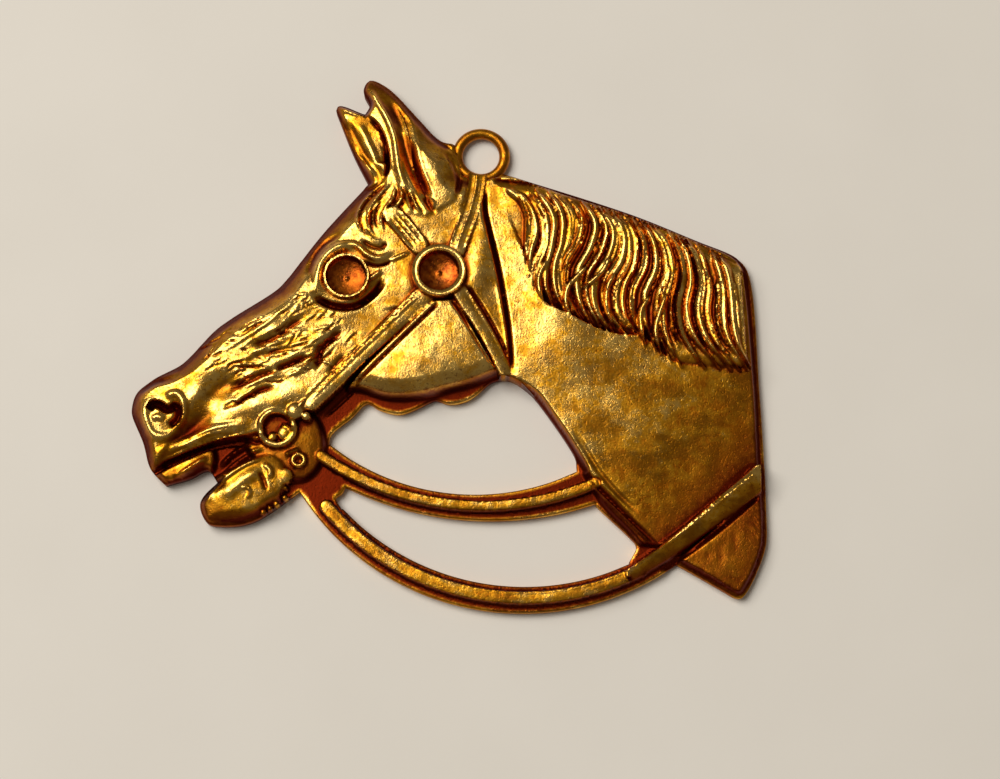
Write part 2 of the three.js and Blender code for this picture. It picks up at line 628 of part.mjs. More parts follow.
// The masses and the mane are raised from the plate, then cut by the creases; straps lie over the cuts.
function horseBrass() {
  const masses = Object.values(MASSES).map(mass);
  const raised = wasm.Manifold.union([
    plate(), ...masses, mane(), ...ears(), ...forelock(), ...features(), ...bit(),
  ]);
  const carved = raised.subtract(wasm.Manifold.union([...creases(), ...earHollows()]));
  const dressed = wasm.Manifold.union([carved, ...bridle(), ...reins(), ring()]);
  const seated = dressed.subtract(wasm.Manifold.union([seatCut(EYE), seatCut(ROSETTE)]));
  const whole = wasm.Manifold.union([seated, seat(EYE), seat(ROSETTE)]);
  return largestBody(whole);
}

// Booleans leave slivers of no volume beside the casting; only the casting is kept.
function largestBody(solid) {
  const larger = (a, b) => (b.volume() > a.volume() ? b : a);
  return solid.decompose().reduce(larger);
}

function geometryOf(solid) {
  const { vertProperties, triVerts } = solid.getMesh();
  const geometry = new THREE.BufferGeometry();
  geometry.setAttribute('position', new THREE.Float32BufferAttribute(vertProperties, 3));
  geometry.setIndex(Array.from(triVerts));
  geometry.computeVertexNormals();
  return geometry;
}

const brass = new THREE.MeshStandardMaterial({ color: 0xb98a2e, roughness: 0.4, metalness: 1 });
const casting = new THREE.Mesh(geometryOf(horseBrass()), brass);
casting.name = 'horse_brass';

const part = new THREE.Group();
part.add(casting);
export default part;
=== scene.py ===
"""The horse brass, dressed: one cast piece with its relief, its worn and stained finish, and a plain set.

The relief is drawn on a grid of heights in the row frame, in millimetres, stroke by stroke, the way a die is
cut: masses first, then folds, hair, straps and seats. A mesh is then laid over the grid, closed with the
outline of the CAD casting, and joined to its hanging ring.
"""

import itertools
import math

import bpy
import numpy as np
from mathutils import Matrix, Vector
from mathutils.geometry import delaunay_2d_cdt


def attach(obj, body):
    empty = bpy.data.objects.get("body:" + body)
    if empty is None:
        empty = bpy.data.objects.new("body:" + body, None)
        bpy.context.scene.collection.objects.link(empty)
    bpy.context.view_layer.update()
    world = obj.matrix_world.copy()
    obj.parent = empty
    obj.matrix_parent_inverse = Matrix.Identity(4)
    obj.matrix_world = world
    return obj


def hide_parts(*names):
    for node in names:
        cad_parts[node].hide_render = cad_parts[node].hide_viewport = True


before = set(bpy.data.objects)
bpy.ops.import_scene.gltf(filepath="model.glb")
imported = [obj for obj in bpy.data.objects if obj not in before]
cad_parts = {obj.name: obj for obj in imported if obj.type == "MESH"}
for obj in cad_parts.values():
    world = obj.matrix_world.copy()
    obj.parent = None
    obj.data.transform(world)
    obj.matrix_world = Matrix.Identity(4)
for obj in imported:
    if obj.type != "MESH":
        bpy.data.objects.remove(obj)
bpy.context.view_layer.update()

NODE = "horse_brass"
MM = 0.001

# ---------- driving dimensions, in millimetres

PLATE = 1.1  # top of the plate that backs the relief
THINNEST = 0.8  # the deepest fold leaves this much metal
RING_CENTRE = (3.5, 21.0)
RING_RADIUS = 2.6  # to the middle of the wire
RING_WIRE = 0.6
RING_HEIGHT = 0.75
SEAT_BORE = 2.15
SEAT_DEPTH = 1.2
SEAT_DISH = 0.45
SEATS = (((-11.0, 6.6), 2.5, 4.3), ((-1.0, 7.1), 2.95, 4.6))  # the eye, the rosette: centre, rim, top
BIT_RING = (-18.2, -9.9)
REIN_TOP = 2.3
SHOULDER = 0.15  # how far the edges of a strap are rounded
FLANGE_TOP = 1.3
FLANGE_WIDTH = 0.45
FLANGE_WALL = 0.12
MANE_BED = 2.95  # what the hair lies on
CRACKS = 110
HATCHES = 26

CELL = 0.06  # spacing of the grid of heights
LOW = np.array([-35.0, -30.5])
COLUMNS = 1168
ROWS = 1018
XS = LOW[0] + CELL * np.arange(COLUMNS)
YS = LOW[1] + CELL * np.arange(ROWS)
EVERYWHERE = (slice(None), slice(None))

EDGE_STEP = 0.16  # spacing of the mesh along the outline
FINE = 0.165  # spacing of the mesh where the relief is busy
COARSE = 0.36  # and where it is smooth
BUSY = 0.022  # how far busy relief departs from its own blur
BUSY_BLUR = 0.35
EDGE_GAP, GUIDE_GAP, FINE_GAP, COARSE_GAP = 0.09, 0.08, 0.07, 0.14  # the least between two points
RIM = 0.12  # how far the top edge of the outline is rounded
WIDEST_SLOPE = 3.0  # the farthest that the edge of the casting shapes the relief
SOFTENED = 0.11  # how far the edges of the masses are blurred
SHARPEST_SMOOTH = 62  # degrees between faces that still shade as one
UNEVEN = ((0.035, 4.0, 1), (0.022, 1.4, 2), (0.012, 0.6, 3))  # height, width and seed of the waves

chance = np.random.default_rng(7)


# ---------- curves

def resampled(points, step):
    """Evenly spaced points along a polyline."""
    lengths = np.hypot(*np.diff(points, axis=0).T)
    travelled = np.concatenate([[0], np.cumsum(lengths)])
    count = max(2, int(round(travelled[-1] / step)) + 1)
    wanted = np.linspace(0, travelled[-1], count)
    return np.column_stack([np.interp(wanted, travelled, points[:, axis]) for axis in (0, 1)])


def spline(points, step=0.2):
    """Evenly spaced points on a centripetal Catmull-Rom curve through the given points."""
    knots = np.array(points, float)
    knots = np.vstack([2 * knots[0] - knots[1], knots, 2 * knots[-1] - knots[-2]])
    pieces = []
    for a, b, c, d in zip(knots, knots[1:], knots[2:], knots[3:]):
        at = np.cumsum([0] + [math.sqrt(math.dist(p, q)) + 1e-9 for p, q in ((a, b), (b, c), (c, d))])
        t = np.linspace(at[1], at[2], 10, endpoint=False)[:, None]
        ab = (at[1] - t) / (at[1] - at[0]) * a + (t - at[0]) / (at[1] - at[0]) * b
        bc = (at[2] - t) / (at[2] - at[1]) * b + (t - at[1]) / (at[2] - at[1]) * c
        cd = (at[3] - t) / (at[3] - at[2]) * c + (t - at[2]) / (at[3] - at[2]) * d
        abc = (at[2] - t) / (at[2] - at[0]) * ab + (t - at[0]) / (at[2] - at[0]) * bc
        bcd = (at[3] - t) / (at[3] - at[1]) * bc + (t - at[1]) / (at[3] - at[1]) * cd
        pieces.append((at[2] - t) / (at[2] - at[1]) * abc + (t - at[1]) / (at[2] - at[1]) * bcd)
    pieces.append(knots[-2:-1])
    return resampled(np.vstack(pieces), step)


def beside(path, offset):
    """The path moved sideways: to its left where the offset is positive."""
    ahead = np.gradient(path, axis=0)
    ahead /= np.hypot(*ahead.T)[:, None] + 1e-12
    return path + offset * np.column_stack([-ahead[:, 1], ahead[:, 0]])


def arc(centre, radius, start, end, step=0.25):
    """Points on the short way round a circle from near one point to near another."""
    first = math.atan2(start[1] - centre[1], start[0] - centre[0])
    last = math.atan2(end[1] - centre[1], end[0] - centre[0])
    turn = math.atan2(math.sin(last - first), math.cos(last - first))
    angles = first + np.linspace(0, turn, max(3, int(abs(turn) * radius / step)))
    return np.column_stack([centre[0] + radius * np.cos(angles), centre[1] + radius * np.sin(angles)])


def closed(loop):
    return np.vstack([loop, loop[:1]])


def smooth_step(value):
    value = np.clip(value, 0, 1)
    return value * value * (3 - 2 * value)


def mix(a, b, t):
    return a + (b - a) * t


# ---------- the grid of heights

def window(points, reach):
    """Rows and columns of the grid within reach of some points."""
    first = np.maximum(((points.min(axis=0) - reach - LOW) / CELL).astype(int), 0)
    last = ((points.max(axis=0) + reach - LOW) / CELL).astype(int) + 2
    return slice(first[1], min(last[1], ROWS)), slice(first[0], min(last[0], COLUMNS))


def around(path, reach):
    """The cells near a path, how far each lies to the left of it (less than 0 to its right), and how far
    along the path it is, from 0 to 1."""
    rows, columns = window(path, reach)
    offset = np.full((rows.stop - rows.start, columns.stop - columns.start), 99.0)
    share = np.zeros_like(offset)
    lengths = np.hypot(*np.diff(path, axis=0).T)
    travelled = np.concatenate([[0], np.cumsum(lengths)]) / lengths.sum()
    for i, (a, b) in enumerate(zip(path, path[1:])):
        near_rows, near_columns = window(np.array([a, b]), reach)
        here = (slice(near_rows.start - rows.start, near_rows.stop - rows.start),
                slice(near_columns.start - columns.start, near_columns.stop - columns.start))
        x = XS[near_columns][None, :] - a[0]
        y = YS[near_rows][:, None] - a[1]
        dx, dy = b - a
        along = np.clip((x * dx + y * dy) / (dx * dx + dy * dy + 1e-12), 0, 1)
        away = np.hypot(x - along * dx, y - along * dy)
        closer = away < np.abs(offset[here])
        offset[here][closer] = np.where(dx * y > dy * x, away, -away)[closer]
        share[here][closer] = mix(travelled[i], travelled[i + 1], along)[closer]
    return (rows, columns), offset, share


def away_from(centre, cells=EVERYWHERE):
    """How far cells of the grid are from a point."""
    return np.hypot(XS[cells[1]][None, :] - centre[0], YS[cells[0]][:, None] - centre[1])


def within(points, loop):
    """Which points lie inside a closed loop."""
    odd = np.zeros(len(points), bool)
    order = np.argsort(points[:, 1], kind="stable")
    heights = points[order, 1]
    for (ax, ay), (bx, by) in zip(loop, np.roll(loop, -1, axis=0)):
        first, last = np.searchsorted(heights, sorted((ay, by)), side="right")
        chosen = order[first:last]
        if len(chosen):
            crossing = ax + (points[chosen, 1] - ay) / (by - ay) * (bx - ax)
            odd[chosen] ^= points[chosen, 0] > crossing
    return odd


def inside(outline):
    """Which cells of the grid lie inside a closed outline."""
    filled = np.zeros((ROWS, COLUMNS), bool)
    for (ax, ay), (bx, by) in zip(outline, np.roll(outline, -1, axis=0)):
        low, high = sorted((ay, by))
        rows = np.nonzero((YS > low) & (YS <= high))[0]
        if len(rows):
            crossing = ax + (YS[rows] - ay) / (by - ay) * (bx - ax)
            first = np.clip(np.ceil((crossing - LOW[0]) / CELL).astype(int), 0, COLUMNS)
            filled[rows] ^= np.arange(COLUMNS) >= first[:, None]
    return filled


def blurred(values, radius):
    """Gaussian blur of the grid."""
    across = np.fft.rfftfreq(COLUMNS, CELL)
    down = np.fft.fftfreq(ROWS, CELL)
    falloff = np.exp(-2 * (math.pi * radius) ** 2 * (across[None, :] ** 2 + down[:, None] ** 2))
    return np.fft.irfft2(np.fft.rfft2(values) * falloff, s=values.shape)


def grain(scale, seed):
    """Smooth random values of about -1 to 1 whose patches are `scale` across."""
    field = blurred(np.random.default_rng(seed).standard_normal((ROWS, COLUMNS)), scale / 2.5)
    return np.clip(field / (2 * field.std()), -1.3, 1.3)


# ---------- strokes

height = np.full((ROWS, COLUMNS), PLATE)
guides = []  # rows of points that the mesh follows, the most important first


def guide(path, *offsets):
    for offset in offsets:
        guides.append(resampled(beside(path, offset), FINE))


def taper(share, ends):
    """1 along a stroke, falling to 0 over `ends` of its length at the start and at the end."""
    start, end = ends if isinstance(ends, tuple) else (ends, ends)
    opening = smooth_step(share / start) if start else 1.0
    closing = smooth_step((1 - share) / end) if end else 1.0
    return opening * closing


def across_line(path, width):
    """The cells under a line, from 0 at its middle to 1 at its edge, and how far along it they are."""
    cells, offset, share = around(path, width / 2)
    return cells, np.clip(np.abs(offset) / (width / 2), 0, 1), share


def ridge(points, width, lift, ends=0.25, soft=False, lines=True):
    """Raises a line: with a clear crest, or soft with no edge. A lift below 0 sinks it. The mesh follows
    a clear crest, unless `lines` is False."""
    path = spline(points)
    cells, across, share = across_line(path, width)
    profile = (1 - across ** 2) ** 2 if soft else 1 - across ** 1.6
    height[cells] += lift * taper(share, ends) * profile
    if lines and not soft:
        guide(path, 0)


def groove(points, width, depth, ends=0.25, soft=False, lines=True):
    ridge(points, width, -depth, ends, soft, lines)


def ledge(points, reach, drop, ends=0.2):
    """A ledge: the ground to the left of the line stays and falls by `drop` just right of it, then climbs
    back over `reach`."""
    path = spline(points)
    cells, offset, share = around(path, reach)
    away = np.clip(-offset / reach, 0, 1)
    fall = np.where(offset < 0, smooth_step(-offset / 0.14) * (1 - smooth_step(away)), 0)
    height[cells] -= drop * taper(share, ends) * fall
    guide(path, 0, -0.14)


def swell(centre, radii, lift, turn=0):
    """Raises (or sinks) a broad soft mound."""
    cells = window(np.array([centre]), 2.2 * max(radii))
    x = XS[cells[1]][None, :] - centre[0]
    y = YS[cells[0]][:, None] - centre[1]
    angle = math.radians(turn)
    along = (x * math.cos(angle) + y * math.sin(angle)) / radii[0]
    across = (y * math.cos(angle) - x * math.sin(angle)) / radii[1]
    height[cells] += lift * np.exp(-(along ** 2 + across ** 2))


def chamfer(points, reach, low, bulge=0.3):
    """Slopes the ground down to `low` along a line, from `reach` away."""
    path = spline(points)
    cells, offset, _ = around(path, reach)
    part = np.clip(np.abs(offset) / reach, 0, 1)
    profile = mix(part, np.sqrt(1 - (1 - part) ** 2), bulge)
    under = height[cells]
    height[cells] = np.minimum(under, low + (under - low) * profile)


def strap(path, width, top, crown, tilt=0.0):
    """Lays a strap over whatever is there. Its width and top go from their first value to their last, it is
    lower by `crown` at both edges, and it rises by `tilt` to its left and falls as much to its right."""
    start_width, end_width = width
    start_top, end_top = top
    widest = max(width) / 2
    cells, offset, share = around(path, widest + 0.1)
    half = mix(start_width, end_width, share) / 2
    across = np.abs(offset) / half
    flat = mix(start_top, end_top, share) - crown * np.clip(across, 0, 1) ** 2 + tilt * offset / half
    edge = np.clip((1 - across) * half / SHOULDER, 0, 1)
    under = height[cells]
    laid = under + (flat - under) * np.sqrt(1 - (1 - edge) ** 2)
    height[cells] = np.where(across < 1, laid, under)
    guide(path, *(widest * part for part in (-1, -0.8, 0, 0.8, 1)))


def rabbet(points):
    """Cuts the flange, a narrow shelf along a line."""
    path = spline(points)
    cells, offset, _ = around(path, FLANGE_WIDTH + FLANGE_WALL)
    wall = smooth_step((np.abs(offset) - FLANGE_WIDTH) / FLANGE_WALL)
    height[cells] = np.minimum(height[cells], mix(FLANGE_TOP, height[cells], wall))
    guide(path, -FLANGE_WIDTH, -FLANGE_WIDTH - FLANGE_WALL)


def piping(path, offset_by, width, lift, ends=0.08):
    """A fine raised line (or a scored one) that runs beside a path."""
    line = beside(path, offset_by)
    cells, across, share = across_line(line, width)
    height[cells] += lift * (1 - across ** 2) * taper(share, ends)
    guide(line, 0)


def knob(centre, radius, top, squash=0.6):
    """A round-headed knob."""
    cells = window(np.array([centre]), radius)
    away = away_from(centre, cells) / radius
    dome = top - radius * squash * (1 - np.sqrt(np.clip(1 - away ** 2, 0, 1)))
    height[cells] = np.where(away < 1, np.maximum(height[cells], dome), height[cells])
    for part in (0.45, 0.85):
        guides.append(circle(centre, radius * part, FINE))


def hoop(centre, radius, wire, top):
    """A small ring that lies in the relief."""
    cells = window(np.array([centre]), radius + wire)
    away = away_from(centre, cells)
    cord = top - wire + np.sqrt(np.clip(wire ** 2 - (away - radius) ** 2, 0, 1))
    height[cells] = np.where(np.abs(away - radius) < wire, np.maximum(height[cells], cord), height[cells])
    for part in (radius - wire, radius, radius + wire):
        guides.append(circle(centre, part, FINE))


def circle(centre, radius, spacing):
    """Points on a full circle, the first not repeated."""
    count = max(6, int(round(2 * math.pi * radius / spacing)))
    angles = 2 * math.pi * np.arange(count) / count
    return np.column_stack([centre[0] + radius * np.cos(angles), centre[1] + radius * np.sin(angles)])


# ---------- masses

# Each mass rises from its outline over `run`, and its top is a low dome: `peak` high at its centre and
# `fall` lower at `reach` from it. A mass that runs out to the edge of the casting has an outline that
# passes beyond it, and `roll`: the width of the slope down to the edge, and the height it ends at.
MASSES = {
    "neck": dict(run=0.35, peak=3.2, centre=(11, 3), reach=(22, 24), fall=0.95, outline=[
        [(3.4, 17.7), (3.4, 13.5), (4.2, 9.0), (5.2, 4.0), (6.0, 0.0), (6.2, -4.2)],
        [(6.2, -4.2), (9.2, -5.9), (11.5, -8.9), (14.2, -13.0), (15.2, -14.9), (17.0, -16.8), (19.4, -19.2),
         (22.6, -22.5)],
        [(22.6, -22.5), (25.6, -20.8), (29.4, -17.8), (33.2, -14.6)],
        [(33.2, -14.6), (33.0, -6.7), (32.6, 1.0), (32.2, 7.6)],
        [(32.2, 7.6), (31.0, 9.1), (27.3, 10.8), (19.8, 13.9), (13.1, 16.1), (8.9, 17.6), (6.2, 18.4),
         (3.4, 17.7)],
    ]),
    "neck_tip": dict(run=0.25, peak=2.1, centre=(28, -22), reach=(8, 8), fall=0.4, outline=[
        [(24.4, -23.9), (28.6, -20.3), (33.4, -16.0)],
        [(33.4, -16.0), (33.5, -22.0), (32.5, -25.0), (31.1, -27.4)],
        [(31.1, -27.4), (30.4, -27.4), (27.9, -25.9), (24.4, -23.9)],
    ]),
    "chest_band": dict(run=0.2, peak=1.8, centre=(18, -18), reach=(8, 8), fall=0.1, outline=[
        [(14.4, -14.4), (16.3, -17.6), (19.7, -21.2), (20.6, -22.3)],
        [(20.6, -22.3), (23.4, -22.4), (16.6, -14.8), (14.4, -14.4)],
    ]),
    "head": dict(run=0.5, peak=3.6, centre=(-17, 0.5), reach=(16, 12), fall=0.7, roll=(2.3, 1.3), outline=[
        [(-35.6, -8.0), (-35.0, -5.2), (-33.0, -3.0), (-29.5, -1.0), (-27.3, 1.2), (-25.5, 3.0), (-22.2, 5.4),
         (-19.2, 7.5), (-17.4, 9.6)],
        [(-17.4, 9.6), (-10.0, 11.0), (-2.4, 6.9)],
        [(-2.4, 6.9), (-8.0, -1.4), (-14.4, -7.8), (-19.4, -10.2), (-24.5, -11.4), (-28.4, -12.8),
         (-31.4, -14.3)],
        [(-31.4, -14.3), (-33.6, -14.6), (-34.8, -11.0), (-35.6, -8.0)],
    ]),
    "muzzle": dict(run=1.6, peak=2.9, centre=(-30, -8), reach=(6, 6), fall=0.3, roll=(1.3, 1.3), outline=[
        [(-35.6, -8.0), (-34.6, -4.8), (-31.0, -2.6), (-27.8, -4.2), (-26.6, -8.0), (-28.6, -11.2),
         (-31.4, -14.3), (-33.8, -14.0), (-35.6, -8.0)],
    ]),
    "lower_lip": dict(run=0.4, peak=2.3, centre=(-28, -14), reach=(4, 3), fall=0.3, roll=(0.6, 1.2), outline=[
        [(-31.6, -15.0), (-29.2, -13.6), (-27.2, -12.7), (-25.1, -12.0), (-24.9, -13.8), (-26.0, -15.2),
         (-27.5, -16.0), (-30.6, -17.0), (-31.6, -15.0)],
    ]),
    "forehead": dict(run=0.4, peak=3.45, centre=(-5, 9.5), reach=(12, 16), fall=0.45, roll=(2.3, 1.35), outline=[
        [(-17.6, 9.0), (-15.6, 12.6), (-9.8, 19.4), (-6.5, 19.8)],
        [(-6.5, 19.8), (1.0, 18.6), (3.6, 17.9)],
        [(3.6, 17.9), (4.1, 14.0), (5.0, 9.0), (6.0, 4.0), (6.6, 0.0), (6.8, -3.9)],
        [(6.8, -3.9), (4.0, -1.0), (1.5, 3.5), (-5.0, 3.0), (-14.0, 2.8), (-17.6, 9.0)],
    ]),
    "jaw": dict(run=0.45, peak=4.05, centre=(-2, -1.4), reach=(9, 8), fall=0.5, outline=[
        [(-1.8, 4.2), (0.7, 4.2), (3.0, 0.6), (4.7, -2.4), (5.4, -3.7)],
        [(5.3, -3.7), (2.5, -4.9), (0.3, -5.5), (-3.0, -6.3), (-6.4, -6.4), (-9.6, -5.5), (-11.0, -5.6)],
        [(-11.0, -5.6), (-9.1, -3.3), (-1.8, 4.2)],
    ]),
    "bit_corner": dict(run=1.0, peak=2.4, centre=(-18, -11), reach=(5, 5), fall=0.5, outline=[
        [(-21.8, -9.0), (-18.0, -7.4), (-14.2, -8.4), (-13.2, -12.4), (-15.0, -15.2),
         (-18.4, -15.0), (-21.8, -11.6), (-21.8, -9.0)],
    ]),
    "chin": dict(run=0.6, peak=2.9, centre=(-21, -15.8), reach=(4, 3), fall=0.35, roll=(1.2, 1.2), outline=[
        [(-27.4, -18.6), (-26.0, -15.8), (-23.6, -14.4), (-20.5, -12.8), (-18.4, -12.7),
         (-17.0, -14.6), (-17.6, -17.0), (-19.6, -20.2), (-24.0, -21.4), (-27.0, -20.8), (-27.4, -18.6)],
    ]),
    "near_ear": dict(run=0.45, peak=3.6, centre=(-3, 17), reach=(9, 12), fall=0.7, roll=(0.9, 1.4), outline=[
        [(-10.4, 30.0), (-8.8, 30.9), (-6.2, 29.7), (-3.4, 27.0), (-0.2, 23.4), (0.9, 20.6), (1.3, 18.0),
         (0.8, 15.0)],
        [(0.8, 15.0), (-2.6, 13.2), (-4.8, 13.6)],
        [(-4.8, 13.6), (-6.3, 18.4), (-7.6, 22.4), (-8.8, 24.8), (-10.2, 26.0), (-10.8, 28.2), (-10.4, 30.0)],
    ]),
    "far_ear": dict(run=0.4, peak=2.8, centre=(-8, 20), reach=(6, 8), fall=0.3, roll=(0.7, 1.4), outline=[
        [(-13.4, 26.0), (-13.0, 27.4), (-11.0, 27.2), (-8.7, 26.0)],
        [(-8.7, 26.0), (-6.9, 21.0), (-6.7, 17.2)],
        [(-6.7, 17.2), (-9.4, 17.0), (-11.4, 20.4), (-12.8, 23.4), (-13.4, 26.0)],
    ]),
}


def raise_mass(from_edge, run, peak, centre, reach, fall, outline, roll=None):
    loop = np.vstack([spline(stretch)[:-1] for stretch in outline])
    cells, offset, _ = around(closed(loop), run)
    filled = inside(loop)
    inset = np.ones((ROWS, COLUMNS))
    inset[cells] = np.minimum(np.abs(offset) / run, 1)
    form = PLATE + (peak - PLATE) * np.sqrt(1 - (1 - inset) ** 2)
    dome = peak - fall * (((XS[None, :] - centre[0]) / reach[0]) ** 2
                          + ((YS[:, None] - centre[1]) / reach[1]) ** 2)
    form = np.minimum(form, dome)
    if roll:
        width, low = roll
        part = np.minimum(from_edge / width, 1)
        form = np.minimum(form, low + (peak - low) * mix(part, np.sqrt(1 - (1 - part) ** 2), 0.2))
    np.maximum(height, form, out=height, where=filled)


def distance_from(loops, reach):
    """How far every cell is from the outline, up to `reach`."""
    away = np.full((ROWS, COLUMNS), reach)
    for loop in loops:
        cells, offset, _ = around(closed(loop), reach)
        away[cells] = np.minimum(away[cells], np.abs(offset))
    return away


def raise_masses(from_edge):
    global height
    for form in MASSES.values():
        raise_mass(from_edge, **form)
    height = blurred(height, SOFTENED)


# ---------- head

def model_face():
    """Bones and hollows of the face, broad forms first."""
    swell((-17.5, 2.6), (6.0, 1.3), 0.22, turn=42)  # nose bone
    swell((-14.8, -0.6), (5.0, 1.0), 0.15, turn=38)  # cheek bone
    swell((-19.5, -7.2), (4.5, 1.0), 0.25, turn=18)  # side of the mouth
    swell((-24.4, -5.6), (3.0, 1.3), -0.75, turn=25)  # hollow behind the nostril
    swell((-27.2, -9.7), (2.6, 0.9), -0.75, turn=38)  # hollow under the nostril
    swell((-30.4, -8.4), (2.2, 2.2), 0.25)  # nostril
    swell((-26.9, -6.4), (1.5, 0.9), 0.45, turn=30)  # wing of the nostril
    swell((-4.5, -3.2), (5.0, 2.4), 0.08, turn=15)  # jaw
    hollows = [
        ([(-21.6, -1.0), (-19.9, -0.6), (-18.2, 0.3), (-16.6, 1.5), (-15.0, 2.3)], 1.3, 0.30),
        ([(-21.8, -1.7), (-20.3, -2.1), (-18.2, -1.6), (-15.0, -1.1)], 0.9, 0.16),
        ([(-18.8, -3.6), (-17.3, -3.1), (-15.9, -2.5), (-14.8, -2.2)], 1.1, 0.40),
        ([(-23.7, -5.5), (-21.6, -4.9), (-19.9, -4.1), (-18.0, -3.6)], 1.1, 0.32),
        ([(-24.4, -7.8), (-22.8, -7.3), (-21.3, -6.4), (-19.9, -5.8), (-18.2, -5.3)], 0.9, 0.38),
        ([(-14.3, -3.9), (-13.9, -2.4), (-13.7, -1.4), (-12.6, -0.3), (-11.2, 1.0)], 1.3, 0.45),
        ([(-12.9, -4.3), (-11.9, -2.9), (-10.9, -2.0)], 0.9, 0.20),
    ]
    for line, width, depth in hollows:
        groove(line, width, depth, soft=True)
        groove([(x + 0.1, y - 0.1) for x, y in line], 0.35, 0.35 * depth)
    ridge([(-23.7, -8.1), (-22.6, -7.1), (-21.3, -6.2), (-20.2, -5.5)], 0.6, 0.25)
    ridge([(-22.4, -5.9), (-20.8, -5.1), (-19.2, -4.4), (-17.6, -4.0)], 0.8, 0.20, soft=True)
    ridge([(-16.9, -4.4), (-15.4, -3.5), (-14.5, -3.1)], 1.0, 0.22, soft=True)
    ridge([(-25.0, -2.2), (-22.6, -0.6), (-20.2, 0.9), (-17.4, 3.2), (-15.4, 5.0)], 0.9, 0.14, soft=True)
    ridge([(-22.6, -2.9), (-19.6, -1.3), (-16.6, 0.2), (-14.2, 1.6)], 0.9, 0.12, soft=True)


def crack_face():
    """The fine cracks and folds of the cast skin, which follow the face and cross each other."""
    cracks = np.random.default_rng(11)
    for _ in range(CRACKS):
        along, across = cracks.uniform(0, 1), cracks.uniform(-1, 1)
        x = mix(-25.5, -12.5, along) + across * 2.2
        y = mix(-4.4, 2.0, along) - across * mix(3.2, 3.6, along)
        heading = math.radians(cracks.normal(26, 17))
        length = cracks.uniform(0.7, 2.6)
        bend = cracks.uniform(-0.25, 0.25)
        ahead = np.array([math.cos(heading), math.sin(heading)])
        aside = np.array([-ahead[1], ahead[0]])
        start = np.array([x, y])
        line = [start + ahead * length * part + aside * bend * math.sin(math.pi * part)
                for part in (0, 0.35, 0.7, 1)]
        groove(line, 0.26, cracks.uniform(0.05, 0.14), lines=length > 1.4)
        ridge([point + aside * 0.24 for point in line], 0.4, cracks.uniform(0.03, 0.09), lines=False)


def model_muzzle():
    ridge([(-28.6, -9.2), (-29.0, -10.2), (-29.9, -10.8), (-30.9, -10.8), (-31.8, -10.2), (-32.3, -9.0),
           (-32.3, -7.8), (-31.8, -6.9), (-30.9, -6.3)], 1.3, 0.24, ends=(0.15, 0.2), soft=True)
    ridge([(-30.2, -6.9), (-29.7, -6.3), (-29.0, -6.2), (-28.4, -6.9), (-28.2, -8.0), (-28.5, -9.1),
           (-29.2, -10.0)], 1.2, 0.34, ends=0.15, soft=True)
    groove([(-32.0, -8.0), (-31.5, -7.3), (-30.8, -7.4), (-30.0, -7.9), (-29.3, -7.6), (-28.9, -7.1)],
           1.0, 1.2, ends=0.12)
    groove([(-28.9, -7.3), (-28.7, -8.3), (-29.0, -9.1), (-29.8, -9.7)], 0.9, 0.8, ends=0.2)
    ridge([(-31.7, -9.0), (-31.0, -8.7), (-30.2, -9.0)], 1.0, 0.2, soft=True)
    groove([(-33.2, -6.0), (-31.8, -4.9), (-30.2, -4.6), (-28.6, -4.2)], 1.2, 0.3, soft=True)
    ridge([(-31.4, -13.0), (-29.4, -11.9), (-27.5, -11.1), (-25.4, -10.2), (-23.1, -9.8), (-20.4, -9.3)],
          1.3, 0.34, ends=(0.2, 0.3))
    groove([(-29.6, -12.1), (-27.2, -11.0), (-24.8, -10.2), (-22.2, -9.8)], 0.3, 0.12)
    groove([(-28.6, -12.6), (-26.2, -11.5), (-23.4, -10.7), (-21.0, -10.2)], 0.3, 0.16)
    groove([(-30.8, -13.9), (-28.6, -13.1), (-26.6, -12.2), (-24.5, -11.5), (-22.4, -11.2), (-20.2, -11.2),
            (-19.4, -10.8)], 0.8, 0.9, ends=(0.1, 0.15))
    ridge([(-29.0, -15.2), (-27.7, -14.3), (-26.5, -13.5), (-25.5, -12.9)], 0.7, 0.4)
    knob((-29.5, -14.9), 0.5, 2.2)


def model_eye_folds():
    """The brow and lids that run round the eye's seat."""
    groove([(-14.9, 5.9), (-15.0, 7.8), (-14.2, 9.7), (-12.8, 11.0), (-11.2, 11.5)], 1.0, 0.28, soft=True)
    ridge([(-13.9, 4.6), (-14.1, 6.6), (-13.6, 8.4), (-12.5, 9.6), (-11.0, 10.1), (-9.7, 9.7)], 1.3, 0.5,
          ends=(0.3, 0.25))
    groove([(-14.9, 5.0), (-13.6, 3.9), (-11.8, 3.3), (-10.0, 3.4), (-8.7, 4.2), (-7.5, 5.4), (-6.8, 6.6)],
           0.95, 0.8, ends=(0.25, 0.2))
    ledge([(-6.9, 6.9), (-7.7, 5.2), (-9.0, 3.9), (-10.8, 3.4)], 1.3, 0.4, ends=0.3)
    ridge([(-11.2, 10.5), (-9.9, 10.1), (-8.9, 9.2), (-7.9, 8.7), (-6.9, 8.8), (-6.1, 9.5)], 0.8, 0.36)
    groove([(-9.3, 8.4), (-7.9, 7.9), (-6.7, 8.1), (-5.8, 8.7)], 0.4, 0.3)
    groove([(-9.6, 10.9), (-8.4, 10.1), (-7.3, 9.9), (-6.5, 10.6)], 0.7, 0.25, soft=True)
    ridge([(-6.7, 8.2), (-5.7, 8.7), (-4.8, 9.1), (-4.2, 9.5)], 0.5, 0.22)
    ridge([(-8.7, 6.2), (-7.9, 6.8), (-7.2, 7.3)], 0.6, 0.3)


